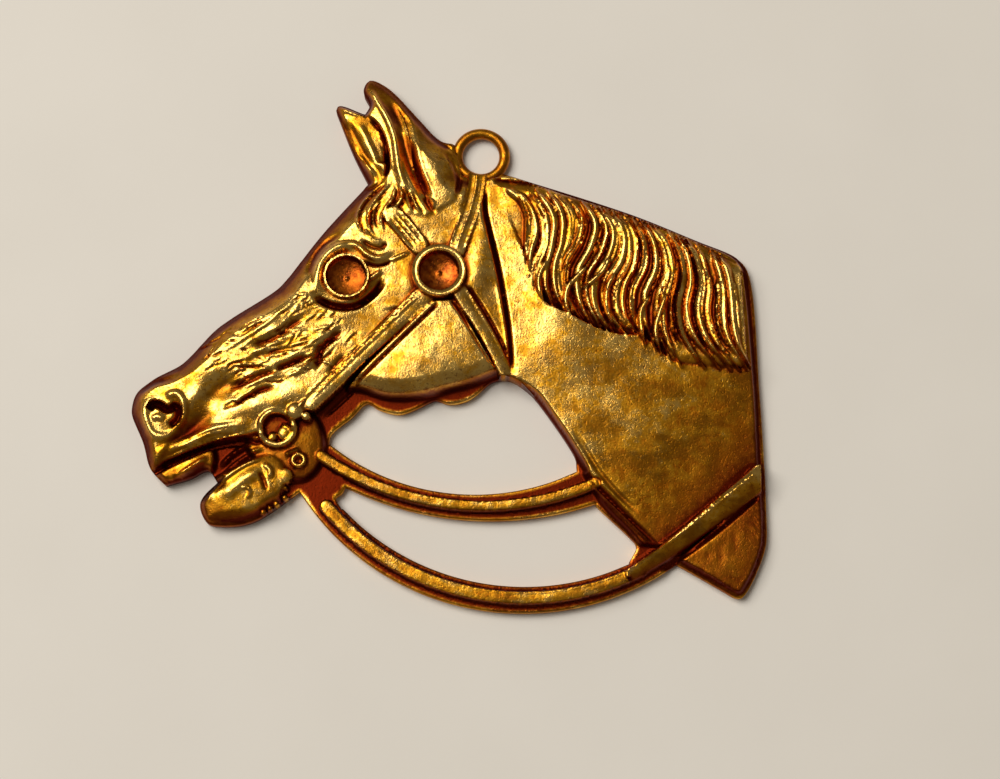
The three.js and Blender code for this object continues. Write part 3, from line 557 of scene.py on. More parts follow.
def model_ears():
    swell((-2.4, 19.8), (4.2, 1.2), 0.25, turn=-58)  # back of the near ear
    chamfer([(-8.0, 29.4), (-6.9, 28.7), (-4.4, 26.2), (-0.9, 22.5), (1.0, 20.6), (1.4, 18.6)], 2.6, 1.7)
    ridge([(-8.9, 28.6), (-8.3, 27.4), (-7.5, 26.0), (-6.7, 24.4), (-6.0, 22.4), (-5.7, 20.4), (-5.4, 18.6),
           (-4.7, 16.6), (-3.9, 15.2)], 0.9, 0.36, ends=(0.1, 0.3))
    groove([(-7.3, 27.6), (-5.9, 25.2), (-5.1, 23.0), (-4.6, 21.0), (-4.0, 19.0), (-3.0, 16.8),
            (-2.0, 14.6)], 1.9, 0.62, ends=(0.2, 0.2), soft=True)
    ledge([(-2.0, 14.4), (-3.1, 16.8), (-3.9, 19.2), (-4.3, 22.0), (-5.0, 24.6), (-6.2, 26.8)], 1.5, 0.35)
    ridge([(-6.2, 27.4), (-4.3, 24.8), (-3.6, 22.0), (-3.1, 19.5), (-2.2, 17.0), (-1.2, 14.9)], 0.7, 0.16)
    groove([(-2.7, 15.8), (-2.0, 14.4), (-1.3, 13.9)], 0.9, 0.4, soft=True)
    ridge([(-2.1, 15.6), (-1.6, 14.7), (-2.0, 14.0)], 0.35, 0.2)
    groove([(-0.5, 21.2), (0.6, 19.4), (1.1, 17.7), (0.8, 15.4)], 0.9, 0.4, soft=True)
    ridge([(-12.3, 25.4), (-11.5, 23.4), (-10.3, 21.0), (-9.0, 19.2), (-7.8, 18.0)], 0.6, 0.3, ends=0.15)
    ridge([(-11.9, 25.9), (-10.4, 25.4), (-8.9, 25.0)], 0.7, 0.25, ends=0.2)
    groove([(-11.4, 24.9), (-10.4, 22.8), (-9.4, 20.8), (-8.3, 19.2)], 1.1, 0.35, soft=True)
    ridge([(-10.0, 24.4), (-9.1, 22.4), (-8.2, 20.4), (-7.6, 18.8)], 1.2, 0.22, soft=True)
    groove([(-8.7, 24.9), (-7.6, 23.4), (-7.0, 21.9), (-6.7, 20.4), (-6.7, 18.9), (-7.1, 17.6)], 0.55, 0.7,
           ends=0.15)


def model_forelock():
    locks = [
        [(-6.8, 17.6), (-8.4, 16.3), (-9.6, 14.7), (-9.9, 13.1), (-9.4, 11.8), (-8.2, 10.8)],
        [(-6.4, 17.2), (-7.9, 15.4), (-8.7, 13.7), (-8.6, 12.3), (-7.8, 11.1)],
        [(-5.8, 16.8), (-6.1, 15.4), (-6.8, 14.4), (-7.3, 13.1), (-7.0, 11.8)],
        [(-5.4, 17.1), (-5.1, 15.6), (-5.8, 14.4), (-6.8, 13.5)],
        [(-4.9, 16.8), (-4.4, 15.2), (-3.9, 13.8)],
        [(-7.5, 15.4), (-8.1, 14.2), (-8.2, 12.9), (-7.7, 12.1)],
        [(-9.2, 12.0), (-8.0, 10.8), (-6.8, 10.2)],
        [(-4.2, 16.2), (-3.6, 14.8), (-2.8, 13.6)],
    ]
    for lock in locks:
        ridge(lock, 0.5, 0.26, ends=(0.15, 0.3))
        groove([(x + 0.27, y - 0.16) for x, y in lock], 0.4, 0.2, lines=False)


def model_cheek():
    crease = [(3.9, 17.2), (3.9, 14.4), (4.4, 12.0), (5.3, 8.1), (6.1, 3.6), (6.6, -0.2), (6.8, -3.9)]
    groove(crease, 0.9, 0.4, ends=(0.1, 0.08), soft=True)
    groove(crease, 0.4, 0.3, ends=(0.12, 0.08))
    chamfer([(5.6, -4.0), (2.5, -5.1), (0.3, -5.7), (-3.0, -6.5), (-6.4, -6.6), (-9.8, -5.7)], 1.9, 2.2, 0.8)
    swell((3.2, 8.0), (1.0, 3.4), 0.2, turn=-8)


# ---------- mane

MANE_CREST = [(4.9, 17.9), (9.0, 17.3), (13.3, 15.9), (19.9, 13.6), (27.4, 10.5), (31.6, 8.2)]
MANE_HEM = [(8.2, 9.4), (9.2, 5.6), (10.5, 3.9), (13.0, 2.6), (16.2, 1.0), (18.4, 0.4), (20.8, 0.2),
            (22.4, -1.0), (24.4, -2.6), (28.8, -3.1), (32.2, -3.2)]

# The way the hair falls, from the crest to the hem, at thirteen places from the poll to the withers.
MANE_FALLS = [
    [(5.0, 17.4), (7.2, 16.0), (8.2, 13.9), (8.4, 12.2), (8.3, 10.5), (8.5, 9.0)],
    [(8.3, 16.4), (9.9, 13.5), (10.2, 10.7), (9.1, 7.9), (9.1, 5.3), (10.1, 3.5)],
    [(9.4, 16.7), (11.3, 13.3), (11.0, 10.0), (10.4, 7.5), (10.5, 5.1), (11.4, 3.3)],
    [(11.3, 16.3), (12.7, 13.7), (12.7, 10.7), (11.9, 7.9), (12.0, 5.3), (13.3, 2.1)],
    [(12.7, 15.9), (14.3, 13.3), (13.9, 10.7), (12.5, 7.9), (12.7, 4.7), (14.7, 1.5)],
    [(15.6, 15.0), (16.9, 12.4), (16.2, 9.6), (14.8, 6.8), (14.9, 4.1), (16.5, 0.5)],
    [(17.2, 14.4), (18.6, 11.5), (18.3, 9.0), (16.4, 6.0), (16.4, 3.2), (18.4, 0.0)],
    [(18.7, 13.9), (19.9, 11.1), (19.7, 8.3), (18.6, 5.5), (18.6, 2.8), (20.7, 0.2)],
    [(20.4, 13.3), (21.7, 10.7), (21.8, 7.9), (20.5, 4.9), (20.5, 2.4), (21.5, -0.6)],
    [(22.3, 12.6), (23.7, 10.0), (24.0, 7.0), (23.2, 4.1), (23.1, 0.9), (24.9, -3.1)],
    [(24.9, 11.5), (26.1, 9.0), (26.5, 6.2), (26.0, 3.2), (26.7, 0.2), (29.3, -3.3)],
    [(27.4, 10.4), (28.3, 7.9), (28.7, 5.3), (28.5, 2.6), (29.3, -0.2), (31.9, -3.5)],
    [(30.1, 8.9), (30.9, 6.4), (31.2, 4.1), (31.4, 1.7), (31.7, -0.6), (32.6, -2.9)],
]
LOCKS = 27
HAIRS = 62


def fall_of_hair(across, wander):
    """One strand, `across` of the way from the first fall to the last."""
    falls = np.array(MANE_FALLS)
    place = across * (len(falls) - 1)
    before = min(int(place), len(falls) - 2)
    points = mix(falls[before], falls[before + 1], place - before)
    points[:, 0] += wander * np.sin(math.pi * np.linspace(0, 1, len(points)))
    return spline(points)


def lay_strand(path, width, top, sag):
    """A strand of hair: a round cord that comes up out of the crest and thins to its tip."""
    cells, offset, share = around(path, width / 2)
    half = width / 2 * mix(0.3, 1, taper(share, (0.15, 0.35)))
    across = np.clip(np.abs(offset + 0.12 * width) / half, 0, 1)
    cord = top - 0.5 * (1 - smooth_step(share / 0.12)) - 0.3 * smooth_step((share - 0.75) / 0.25)
    cord = cord - sag * across ** 1.7
    height[cells] = np.where(across < 1, np.maximum(height[cells], cord), height[cells])
    guide(path, -0.12 * width)


def model_mane():
    """A bed of hair, broad locks on it, fine hairs over them, and a few locks that cross the rest."""
    crest = spline(MANE_CREST)
    hem = spline(MANE_HEM)
    outline = np.vstack([crest, hem[::-1]])
    bed = np.full((ROWS, COLUMNS), MANE_BED)
    for line, low in ((crest, 2.2), (hem, 2.5)):
        cells, offset, _ = around(line, 1.0)
        bed[cells] = np.minimum(bed[cells], mix(low, MANE_BED, np.sqrt(np.clip(np.abs(offset), 0, 1))))
    height[:] = np.where(inside(outline), bed, height)
    for i in range(LOCKS):
        across = (i + 0.5 + chance.uniform(-0.2, 0.2)) / LOCKS
        lay_strand(fall_of_hair(across, chance.uniform(-0.3, 0.3)), chance.uniform(0.9, 1.35),
                   chance.uniform(3.3, 3.6), 0.6)
    for i in range(HAIRS):
        across = (i + 0.5 + chance.uniform(-0.3, 0.3)) / HAIRS
        path = fall_of_hair(across, chance.uniform(-0.5, 0.5))
        first, last = chance.uniform(0, 0.3), chance.uniform(0.55, 1.0)
        path = path[int(first * len(path)):int(last * len(path))]
        lay_strand(path, chance.uniform(0.35, 0.55), chance.uniform(3.25, 3.6), 0.4)
    crossing = [
        [(15.3, 8.0), (14.0, 6.6), (13.0, 5.4), (12.8, 3.6), (13.6, 1.9)],
        [(17.6, 8.9), (16.8, 7.3), (15.4, 5.9), (14.3, 5.2)],
        [(18.3, 7.3), (17.3, 5.4), (17.2, 3.2), (18.0, 1.0)],
        [(22.0, 4.6), (20.9, 2.9), (20.9, 0.8), (21.3, -0.8)],
        [(23.8, 5.0), (23.0, 3.0), (22.4, 0.6), (23.0, -1.8)],
        [(10.9, 8.7), (9.9, 6.6), (10.0, 4.9), (10.6, 3.6)],
    ]
    for lock in crossing:
        lay_strand(spline(lock), 0.85, 3.75, 0.6)


# ---------- bridle

def model_bridle():
    cheek = spline([(-2.5, 4.6), (-8.7, -1.5), (-14.6, -7.4)])
    strap(cheek, (2.3, 1.5), (3.95, 3.45), crown=0.2)
    for aside in (-1.02, -0.68, -0.34):
        piping(cheek, aside, 0.26, 0.13)
    piping(cheek, 0.98, 0.24, 0.08)
    groove([(-0.9, 3.8), (-4.6, 0.1), (-9.5, -4.8), (-13.5, -8.6)], 0.5, 0.35, ends=(0.05, 0.1))
    latch = spline([(1.1, 5.2), (3.0, 2.2), (4.7, -0.8), (6.0, -3.6)])
    strap(latch, (1.8, 1.5), (3.8, 3.2), crown=0.15, tilt=-0.15)
    piping(latch, 0.7, 0.3, 0.14)
    groove([(0.3, 4.1), (1.7, 1.9), (3.2, -0.6), (4.9, -3.6)], 0.45, 0.4, ends=(0.05, 0.15))
    groove([(2.2, 5.6), (4.2, 2.4), (5.7, -0.5), (6.6, -2.8)], 0.5, 0.3, ends=(0.05, 0.15))
    crown_strap = spline([(0.9, 9.6), (1.6, 11.8), (2.4, 14.2), (3.0, 17.0), (3.2, 20.0)])
    strap(crown_strap, (1.9, 2.2), (3.85, 2.2), crown=0.1)
    for aside in (-0.85, 0.05, 0.85):
        piping(crown_strap, aside, 0.3, 0.18)
    browband = spline([(-3.2, 10.1), (-6.0, 13.5)])
    strap(browband, (2.0, 2.1), (3.75, 3.7), crown=0.0)
    piping(browband, -0.95, 0.24, 0.1)
    piping(browband, 0.95, 0.24, 0.1)
    for aside in (-0.55, 0.0, 0.5):
        piping(browband, aside, 0.3, -0.14, ends=0.2)


def model_bit():
    height[:] = np.where(away_from(BIT_RING) < 1.6, np.minimum(height, 2.3), height)
    hoop(BIT_RING, 1.8, 0.38, 3.1)
    ridge([(-20.1, -10.2), (-19.8, -9.0), (-19.0, -8.3), (-17.9, -8.1)], 0.8, 0.35)
    knob((-17.4, -10.4), 0.85, 3.1)
    knob((-18.7, -10.8), 0.5, 2.8)
    ridge([(-17.9, -9.4), (-17.0, -9.6), (-16.4, -10.3)], 0.5, 0.4)
    knob((-16.3, -8.1), 0.95, 3.7)
    knob((-15.1, -8.7), 0.5, 3.6)
    ridge([(-15.9, -7.6), (-15.2, -7.0), (-14.5, -7.0), (-13.9, -7.5), (-14.0, -8.2)], 0.45, 0.3, ends=0.1)
    ridge([(-24.5, -14.0), (-23.1, -12.6), (-21.2, -11.4), (-19.3, -10.7)], 0.8, 0.6, ends=0.2)
    groove([(-23.9, -13.7), (-22.4, -12.4), (-20.6, -11.4)], 0.3, 0.25)
    ridge([(-24.2, -14.7), (-23.1, -13.8), (-21.4, -12.6), (-19.6, -11.9)], 0.6, 0.35, ends=0.2)
    hoop((-15.9, -13.3), 0.62, 0.26, 2.75)
    ridge([(-17.4, -12.8), (-16.6, -12.4), (-15.8, -12.1)], 0.6, 0.4, ends=0.2)
    knob((-17.3, -15.0), 0.85, 2.8, squash=0.3)
    beads = [(-18.0, -16.0), (-17.3, -16.3), (-17.9, -16.9), (-18.4, -17.5), (-17.3, -17.3), (-18.9, -18.4),
             (-18.2, -18.0), (-19.6, -18.8)]
    for bead in beads:
        knob(bead, chance.uniform(0.22, 0.34), chance.uniform(2.0, 2.3))


def model_chin():
    ridge([(-25.6, -18.0), (-25.1, -16.9), (-24.2, -15.8), (-23.0, -14.8), (-21.4, -13.8), (-19.6, -13.1)],
          0.5, 0.22, ends=0.15)
    ridge([(-24.0, -17.8), (-23.0, -16.6), (-21.4, -15.3), (-19.6, -14.2)], 1.8, 0.22, soft=True)
    ridge([(-21.9, -16.4), (-21.2, -16.3), (-20.9, -16.9), (-21.3, -17.5)], 0.35, 0.2, ends=0.1)
    ridge([(-19.7, -13.7), (-18.9, -14.4), (-18.9, -15.4)], 0.7, 0.25)
    groove([(-20.1, -14.4), (-19.6, -15.5), (-19.2, -16.7)], 0.6, 0.3)
    chamfer([(-18.6, -18.6), (-20.4, -19.6), (-22.4, -20.0), (-24.3, -20.2)], 1.3, 1.4, 0.6)


# ---------- seats

def seat_height(away, rim, top):
    """Section of a round seat: a rim hollowed round its middle, a straight bore, and a dished floor with a
    point in its middle."""
    aside = np.abs(away - (rim + SEAT_BORE) / 2) / (rim - SEAT_BORE) * 2
    collar = top - 0.3 * (rim - SEAT_BORE) * (1 - aside ** 2)
    floor = top - SEAT_DEPTH - SEAT_DISH * (1 - (away / SEAT_BORE) ** 2)
    floor = floor + 0.22 * np.clip(1 - away / 0.3, 0, 1)
    return np.where(away < SEAT_BORE, floor, collar)


def sink_seats():
    for centre, rim, top in SEATS:
        cells = window(np.array([centre]), rim + 0.2)
        away = away_from(centre, cells)
        height[cells] = np.where(away < rim, seat_height(away, rim, top), height[cells])
        collar = (rim + 0.08, rim - 0.08, SEAT_BORE + 0.07, SEAT_BORE - 0.07)
        floor = (SEAT_BORE * 0.85, SEAT_BORE * 0.7, SEAT_BORE * 0.55, SEAT_BORE * 0.4, 0.45, 0.3, 0.12)
        for radius in floor + collar:
            guides.insert(0, circle(centre, radius, 0.13 if radius > 1 else 0.16))


# ---------- reins and neck

def model_reins():
    upper = arc((3.75, 11.95), 30.15, (-13.6, -12.9), (15.6, -15.4))
    lower = arc((8.1, -0.55), 27.45, (-12.9, -18.2), (20.6, -25.0))
    for rein, wide in ((upper, 1.25), (lower, 1.5)):
        strap(rein, (wide, wide), (REIN_TOP, REIN_TOP), crown=0.1)
        piping(rein, 0.36 * wide, 0.3, 0.06)
    piping(spline([(15.0, -15.6), (17.0, -17.6), (19.2, -19.8), (21.6, -22.2)]), 0.0, 0.35, 0.3)
    across_neck = spline([(19.6, -25.5), (21.6, -24.2), (24.9, -21.9), (28.3, -19.2), (33.4, -15.1)])
    strap(across_neck, (1.5, 2.7), (REIN_TOP, 2.8), crown=0.1, tilt=0.5)
    piping(across_neck, 1.05, 0.34, 0.2, ends=(0.25, 0.05))
    piping(across_neck, 0.66, 0.26, 0.12, ends=(0.25, 0.05))
    groove([(22.6, -25.2), (25.5, -23.3), (29.1, -20.6), (33.2, -17.1)], 0.5, 0.4, ends=(0.1, 0.05))
    rabbet([(32.4, 8.2), (33.1, 1.4), (33.6, -6.4), (34.0, -19.5), (33.9, -22.2)])
    rabbet([(33.9, -22.2), (32.9, -25.1), (31.3, -27.8), (30.7, -27.9), (27.9, -26.3), (24.3, -24.3)])


def model_neck():
    ridge([(11.9, -9.8), (13.6, -12.4), (15.2, -14.9), (17.0, -16.9), (19.4, -19.3), (21.4, -21.2)],
          0.5, 0.18, ends=0.15)
    groove([(13.0, -9.6), (14.8, -12.4), (16.3, -14.8), (18.4, -17.2), (20.8, -19.4)], 0.9, 0.2, soft=True)
    swell((12.0, 3.0), (3.6, 9.0), 0.28, turn=12)
    swell((21.0, -9.0), (6.5, 5.0), 0.08)
    swell((14.5, -5.5), (3.5, 2.5), -0.08, turn=-40)
    hatch = np.random.default_rng(5)
    for i in range(HATCHES):
        start = np.array([26.2, -24.2]) + i * np.array([0.29, 0.24])
        end = start + hatch.uniform(0.8, 3.2) * np.array([0.62, -0.78])
        groove([start, (start + end) / 2, end], 0.24, hatch.uniform(0.02, 0.06), lines=False)


# ---------- the whole relief

def model_relief(from_edge):
    raise_masses(from_edge)
    model_face()
    crack_face()
    model_muzzle()
    model_ears()
    model_forelock()
    model_eye_folds()
    model_neck()
    model_mane()
    model_cheek()
    model_chin()
    model_bit()
    model_bridle()
    model_reins()
    uneven = sum(depth * grain(patch, seed) for depth, patch, seed in UNEVEN)
    height[:] += uneven * np.clip((height - PLATE) / 0.6, 0.3, 1)
    np.maximum(height, THINNEST, out=height)
    sink_seats()


def sample(grid, points):
    """Values of a grid at points, blended between cells."""
    where = (points - LOW) / CELL
    cell = np.clip(np.floor(where).astype(int), 0, (COLUMNS - 2, ROWS - 2))
    part = where - cell
    column, row = cell.T
    lower = mix(grid[row, column], grid[row, column + 1], part[:, 0])
    upper = mix(grid[row + 1, column], grid[row + 1, column + 1], part[:, 0])
    return mix(lower, upper, part[:, 1])


# ---------- the outline

def back_loops(node):
    """The loops of edges round the flat back of the CAD casting, in millimetres; material on the left."""
    mesh = node.data
    corners = [tuple(round(value / MM, 3) for value in vertex.co) for vertex in mesh.vertices]
    flat = 0.001
    following = {}
    for face in mesh.polygons:
        ring = [corners[i] for i in face.vertices]
        if all(z < flat for _, _, z in ring):
            for a, b in zip(ring, ring[1:] + ring[:1]):
                following.setdefault(b[:2], set()).add(a[:2])
    edges = {}
    for a, targets in following.items():
        for b in targets:
            if a not in following.get(b, ()):
                edges[a] = b
    loops = []
    while edges:
        start, point = edges.popitem()
        loop = [start]
        while point != start:
            loop.append(point)
            point = edges.pop(point)
        loops.append(np.array(loop))
    return loops


def rounded_loop(loop, corner=38):
    """The loop as evenly spaced points: curved between its corners, which are kept."""
    before = loop - np.roll(loop, 1, axis=0)
    after = np.roll(loop, -1, axis=0) - loop
    turn = np.arctan2(after[:, 1], after[:, 0]) - np.arctan2(before[:, 1], before[:, 0])
    turn = np.degrees(np.abs((turn + math.pi) % (2 * math.pi) - math.pi))
    corners = np.nonzero(turn > corner)[0]
    if len(corners) == 0:
        corners = np.array([0])
    loop = np.roll(loop, -corners[0], axis=0)
    stops = list(corners - corners[0]) + [len(loop)]
    whole = closed(loop)
    stretches = [spline(whole[a:b + 1], EDGE_STEP)[:-1] for a, b in zip(stops, stops[1:])]
    return np.vstack(stretches).astype(np.float32).astype(float)


# ---------- the mesh

def hexagons(spacing):
    """Points of a hexagonal net over the grid."""
    rows = np.arange(YS[0], YS[-1], spacing * math.sqrt(0.75))
    points = []
    for i, y in enumerate(rows):
        x = np.arange(XS[0] + spacing * (i % 2) / 2, XS[-1], spacing)
        points.append(np.column_stack([x, np.full(len(x), y)]))
    return np.vstack(points)


def cells_of(points):
    return np.clip(np.rint((points - LOW) / CELL).astype(int), 0, (COLUMNS - 1, ROWS - 1))


class Crowd:
    """Takes points for the mesh, and turns away those that come too close to one already taken."""

    def __init__(self, allowed):
        self.free = allowed.copy()
        self.points = []

    def take(self, points, gap):
        column, row = cells_of(points).T
        points = points[self.free[row, column]]
        if len(points) == 0:
            return
        self.points.append(points)
        reach = int(round(gap / CELL))
        column, row = cells_of(points).T
        for down, across in itertools.product(range(-reach, reach + 1), repeat=2):
            if math.hypot(down, across) * CELL <= gap:
                rows = np.clip(row + down, 0, ROWS - 1)
                self.free[rows, np.clip(column + across, 0, COLUMNS - 1)] = False


def surface_points(loops):
    """Points inside the outline: rows along the strokes first, then a net that is finer where it's busy."""
    solid = np.zeros((ROWS, COLUMNS), bool)
    for loop in loops:
        solid ^= inside(loop)
    crowd = Crowd(solid)
    for loop in loops:
        cells, offset, _ = around(closed(loop), 0.3)
        crowd.free[cells] &= np.abs(offset) > RIM * 0.8
    for loop in loops:
        crowd.take(beside(closed(loop), RIM)[:-1], EDGE_GAP)
    for path in guides:
        crowd.take(path, GUIDE_GAP)
    busy = blurred(np.abs(height - blurred(height, BUSY_BLUR)), BUSY_BLUR) > BUSY
    net = hexagons(FINE)
    column, row = cells_of(net).T
    crowd.take(net[busy[row, column]], FINE_GAP)
    crowd.take(hexagons(COARSE), COARSE_GAP)
    return np.vstack(crowd.points)


def triangulated(points, loops):
    """Triangles over the points, cut off at the loops, which come first among the points."""
    edges = []
    start = 0
    for loop in loops:
        count = len(loop)
        edges += [(start + i, start + (i + 1) % count) for i in range(count)]
        start += count
    flat = [Vector((float(x), float(y))) for x, y in points]
    result = delaunay_2d_cdt(flat, edges, [], 0, 0)
    placed = np.array([tuple(vertex) for vertex in result[0]])
    triangles = np.array(result[2])
    middles = placed[triangles].mean(axis=1)
    wanted = np.zeros(len(triangles), bool)
    for loop in loops:
        wanted ^= within(middles, loop)
    source = np.array([origin[0] for origin in result[3]])
    return source[triangles[wanted]]


def mesh_object(name, vertices, faces):
    mesh = bpy.data.meshes.new(name)
    mesh.from_pydata(vertices.tolist(), [], faces)
    mesh.update()
    piece = bpy.data.objects.new(name, mesh)
    bpy.context.scene.collection.objects.link(piece)
    return piece


def casting_body(loops):
    """The relief as a closed mesh: its surface, the wall of its outline and its flat back."""
    edge = np.vstack(loops)
    points = np.vstack([edge, surface_points(loops)])
    top = sample(height, points)
    for centre, rim, rim_top in SEATS:
        away = np.hypot(*(points - centre).T)
        top = np.where(away < rim, seat_height(away, rim, rim_top), top)
    inward = np.vstack([beside(closed(loop), RIM)[:-1] for loop in loops])
    top[:len(edge)] = sample(height, inward) - 0.6 * RIM
    faces = triangulated(points, loops).tolist()
    count = len(points)
    start = 0
    for loop in loops:
        size = len(loop)
        for i in range(size):
            a, b = start + i, start + (i + 1) % size
            faces.append((b, a, count + a, count + b))
        start += size
    faces += [(count + a, count + c, count + b) for a, b, c in triangulated(edge, loops).tolist()]
    vertices = np.vstack([
        np.column_stack([points, top]),
        np.column_stack([edge, np.zeros(len(edge))]),
    ])
    return mesh_object(NODE + "_cast", vertices * MM, faces)


def hanging_ring():
    around_ring, around_wire = 132, 28
    vertices = []
    faces = []
    for i, j in itertools.product(range(around_ring), range(around_wire)):
        turn = 2 * math.pi * i / around_ring
        angle = 2 * math.pi * j / around_wire
        wire = RING_WIRE * (1 + 0.02 * math.sin(3 * turn + 1))
        radius = RING_RADIUS + wire * math.cos(angle)
        vertices.append((RING_CENTRE[0] + radius * math.cos(turn),
                         RING_CENTRE[1] + radius * math.sin(turn),
                         RING_HEIGHT + wire * math.sin(angle)))
        here, ahead = i * around_wire, (i + 1) % around_ring * around_wire
        beyond = (j + 1) % around_wire
        faces.append((here + j, ahead + j, ahead + beyond, here + beyond))
    return mesh_object("ring", np.array(vertices) * MM, faces)


def join_solids(piece, other):
    """Makes one closed mesh of two that overlap."""
    union = piece.modifiers.new("join", "BOOLEAN")
    union.operation = "UNION"
    union.solver = "MANIFOLD"
    union.object = other
    graph = bpy.context.evaluated_depsgraph_get()
    joined = bpy.data.meshes.new_from_object(piece.evaluated_get(graph))
    piece.modifiers.remove(union)
    old = piece.data
    piece.data = joined
    bpy.data.meshes.remove(old)
    bpy.data.objects.remove(other)


def stain(piece, from_edge):
    """Records on every vertex its patina in the hollows and painted shade on steep walls and low ground, how
    worn it is, and how much of a stone's seat it is.
    """
    hollow = np.clip((blurred(height, 0.25) - height) / 0.12, -1, 1)
    wide_hollow = np.clip((blurred(height, 0.9) - height) / 0.7, -1, 1)
    down, across = np.gradient(height, CELL)
    steep = blurred(np.clip(np.hypot(down, across) / 1.1 - 0.25, 0, 1), 0.06)
    away_from_edge = smooth_step((from_edge - 0.3) / 0.25)
    low = np.clip((2.35 - height) / 0.9, 0, 1) * away_from_edge
    # patina darkens the hollows; steep walls and low ground away from the edge are darkened as well, which is
    # painted shade
    patina_and_painted_shade = 0.3 * np.maximum(hollow, 0) + 0.75 * np.maximum(wide_hollow, 0) + 0.34 * steep + 0.95 * low
    worn = 0.75 * smooth_step((blurred(height, 0.3) - 1.6) / 2.0) + 0.35 * np.maximum(-hollow, 0)
    # steep walls are also kept out of the worn gold, which is more painted shade
    worn += 0.25 * np.maximum(-wide_hollow, 0) - 0.3 * steep
    worn = np.maximum(worn, 0.6 * (1 - away_from_edge) * (height < 1.6))
    near_ring = smooth_step((3.9 - away_from(RING_CENTRE)) / 0.4)
    worn = mix(worn, 0.3, near_ring)
    patina_and_painted_shade = patina_and_painted_shade * (1 - 0.8 * near_ring)
    seats = np.zeros((ROWS, COLUMNS))
    for centre, _, _ in SEATS:
        seats = np.maximum(seats, smooth_step((SEAT_BORE + 0.1 - away_from(centre)) / 0.2))
    mesh = piece.data
    places = np.empty(len(mesh.vertices) * 3)
    mesh.vertices.foreach_get("co", places)
    places = places.reshape(-1, 3) / MM
    colour = mesh.color_attributes.new(name="relief", type="FLOAT_COLOR", domain="POINT")
    values = np.ones((len(places), 4))
    for channel, grid in enumerate((patina_and_painted_shade, worn, seats)):
        values[:, channel] = sample(blurred(np.clip(grid, 0, 1), 0.05), places[:, :2])
    colour.data.foreach_set("color", values.ravel())


# ---------- materials

class Shader:
    """A short way to write a material's nodes."""

    def __init__(self, name):
        self.material = bpy.data.materials.new(name)
        self.material.use_nodes = True
        self.tree = self.material.node_tree
        self.surface = self.tree.nodes["Principled BSDF"]

    def put(self, socket, value):
        if isinstance(value, bpy.types.NodeSocket):
            self.tree.links.new(value, socket)
        else:
            socket.default_value = value

    def math(self, operation, a, b=0.0):
        made = self.tree.nodes.new("ShaderNodeMath")
        made.operation = operation
        self.put(made.inputs[0], a)
        self.put(made.inputs[1], b)
        return made.outputs[0]

    def span(self, value, low, high, to_low=0.0, to_high=1.0):
        made = self.tree.nodes.new("ShaderNodeMapRange")
        for name, number in zip(("Value", "From Min", "From Max", "To Min", "To Max"),
                                (value, low, high, to_low, to_high)):
            self.put(made.inputs[name], number)
        made.clamp = True
        return made.outputs[0]

    def blend(self, factor, a, b):
        made = self.tree.nodes.new("ShaderNodeMix")
        made.data_type = "RGBA"
        self.put(made.inputs[0], factor)
        self.put(made.inputs[6], a)
        self.put(made.inputs[7], b)
        return made.outputs[2]

    def noise(self, size_mm, detail=3.0, stretch=(1, 1, 1), turn=0.0):
        """Noise whose patches are about size_mm across, stretched along the given axes."""
        place = self.tree.nodes.new("ShaderNodeTexCoord").outputs["Object"]
        mapping = self.tree.nodes.new("ShaderNodeMapping")
        mapping.inputs["Rotation"].default_value = (0, 0, math.radians(turn))
        mapping.inputs["Scale"].default_value = tuple(1 / (MM * size_mm * part) for part in stretch)
        self.put(mapping.inputs["Vector"], place)
        made = self.tree.nodes.new("ShaderNodeTexNoise")
        self.put(made.inputs["Vector"], mapping.outputs[0])
        made.inputs["Scale"].default_value = 1.0
        made.inputs["Detail"].default_value = detail
        return made.outputs["Fac"]

    def bump(self, relief, strength, depth_mm):
        made = self.tree.nodes.new("ShaderNodeBump")
        made.inputs["Strength"].default_value = strength
        made.inputs["Distance"].default_value = depth_mm * MM
        self.put(made.inputs["Height"], relief)
        self.put(self.surface.inputs["Normal"], made.outputs[0])


GOLD_DEEP = (0.40, 0.125, 0.005, 1)
GOLD_MID = (0.76, 0.35, 0.018, 1)
GOLD_WORN = (0.96, 0.60, 0.15, 1)
PIT = (0.22, 0.06, 0.005, 1)
TARNISH = (0.30, 0.105, 0.006, 1)
# BROWN and CRIMSON colour the patina in the hollows and the painted shade on steep walls and low ground
BROWN = (0.30, 0.07, 0.005, 1)
CRIMSON = (0.12, 0.011, 0.002, 1)
COPPER_BRIGHT = (0.42, 0.085, 0.008, 1)
COPPER_DARK = (0.16, 0.018, 0.003, 1)


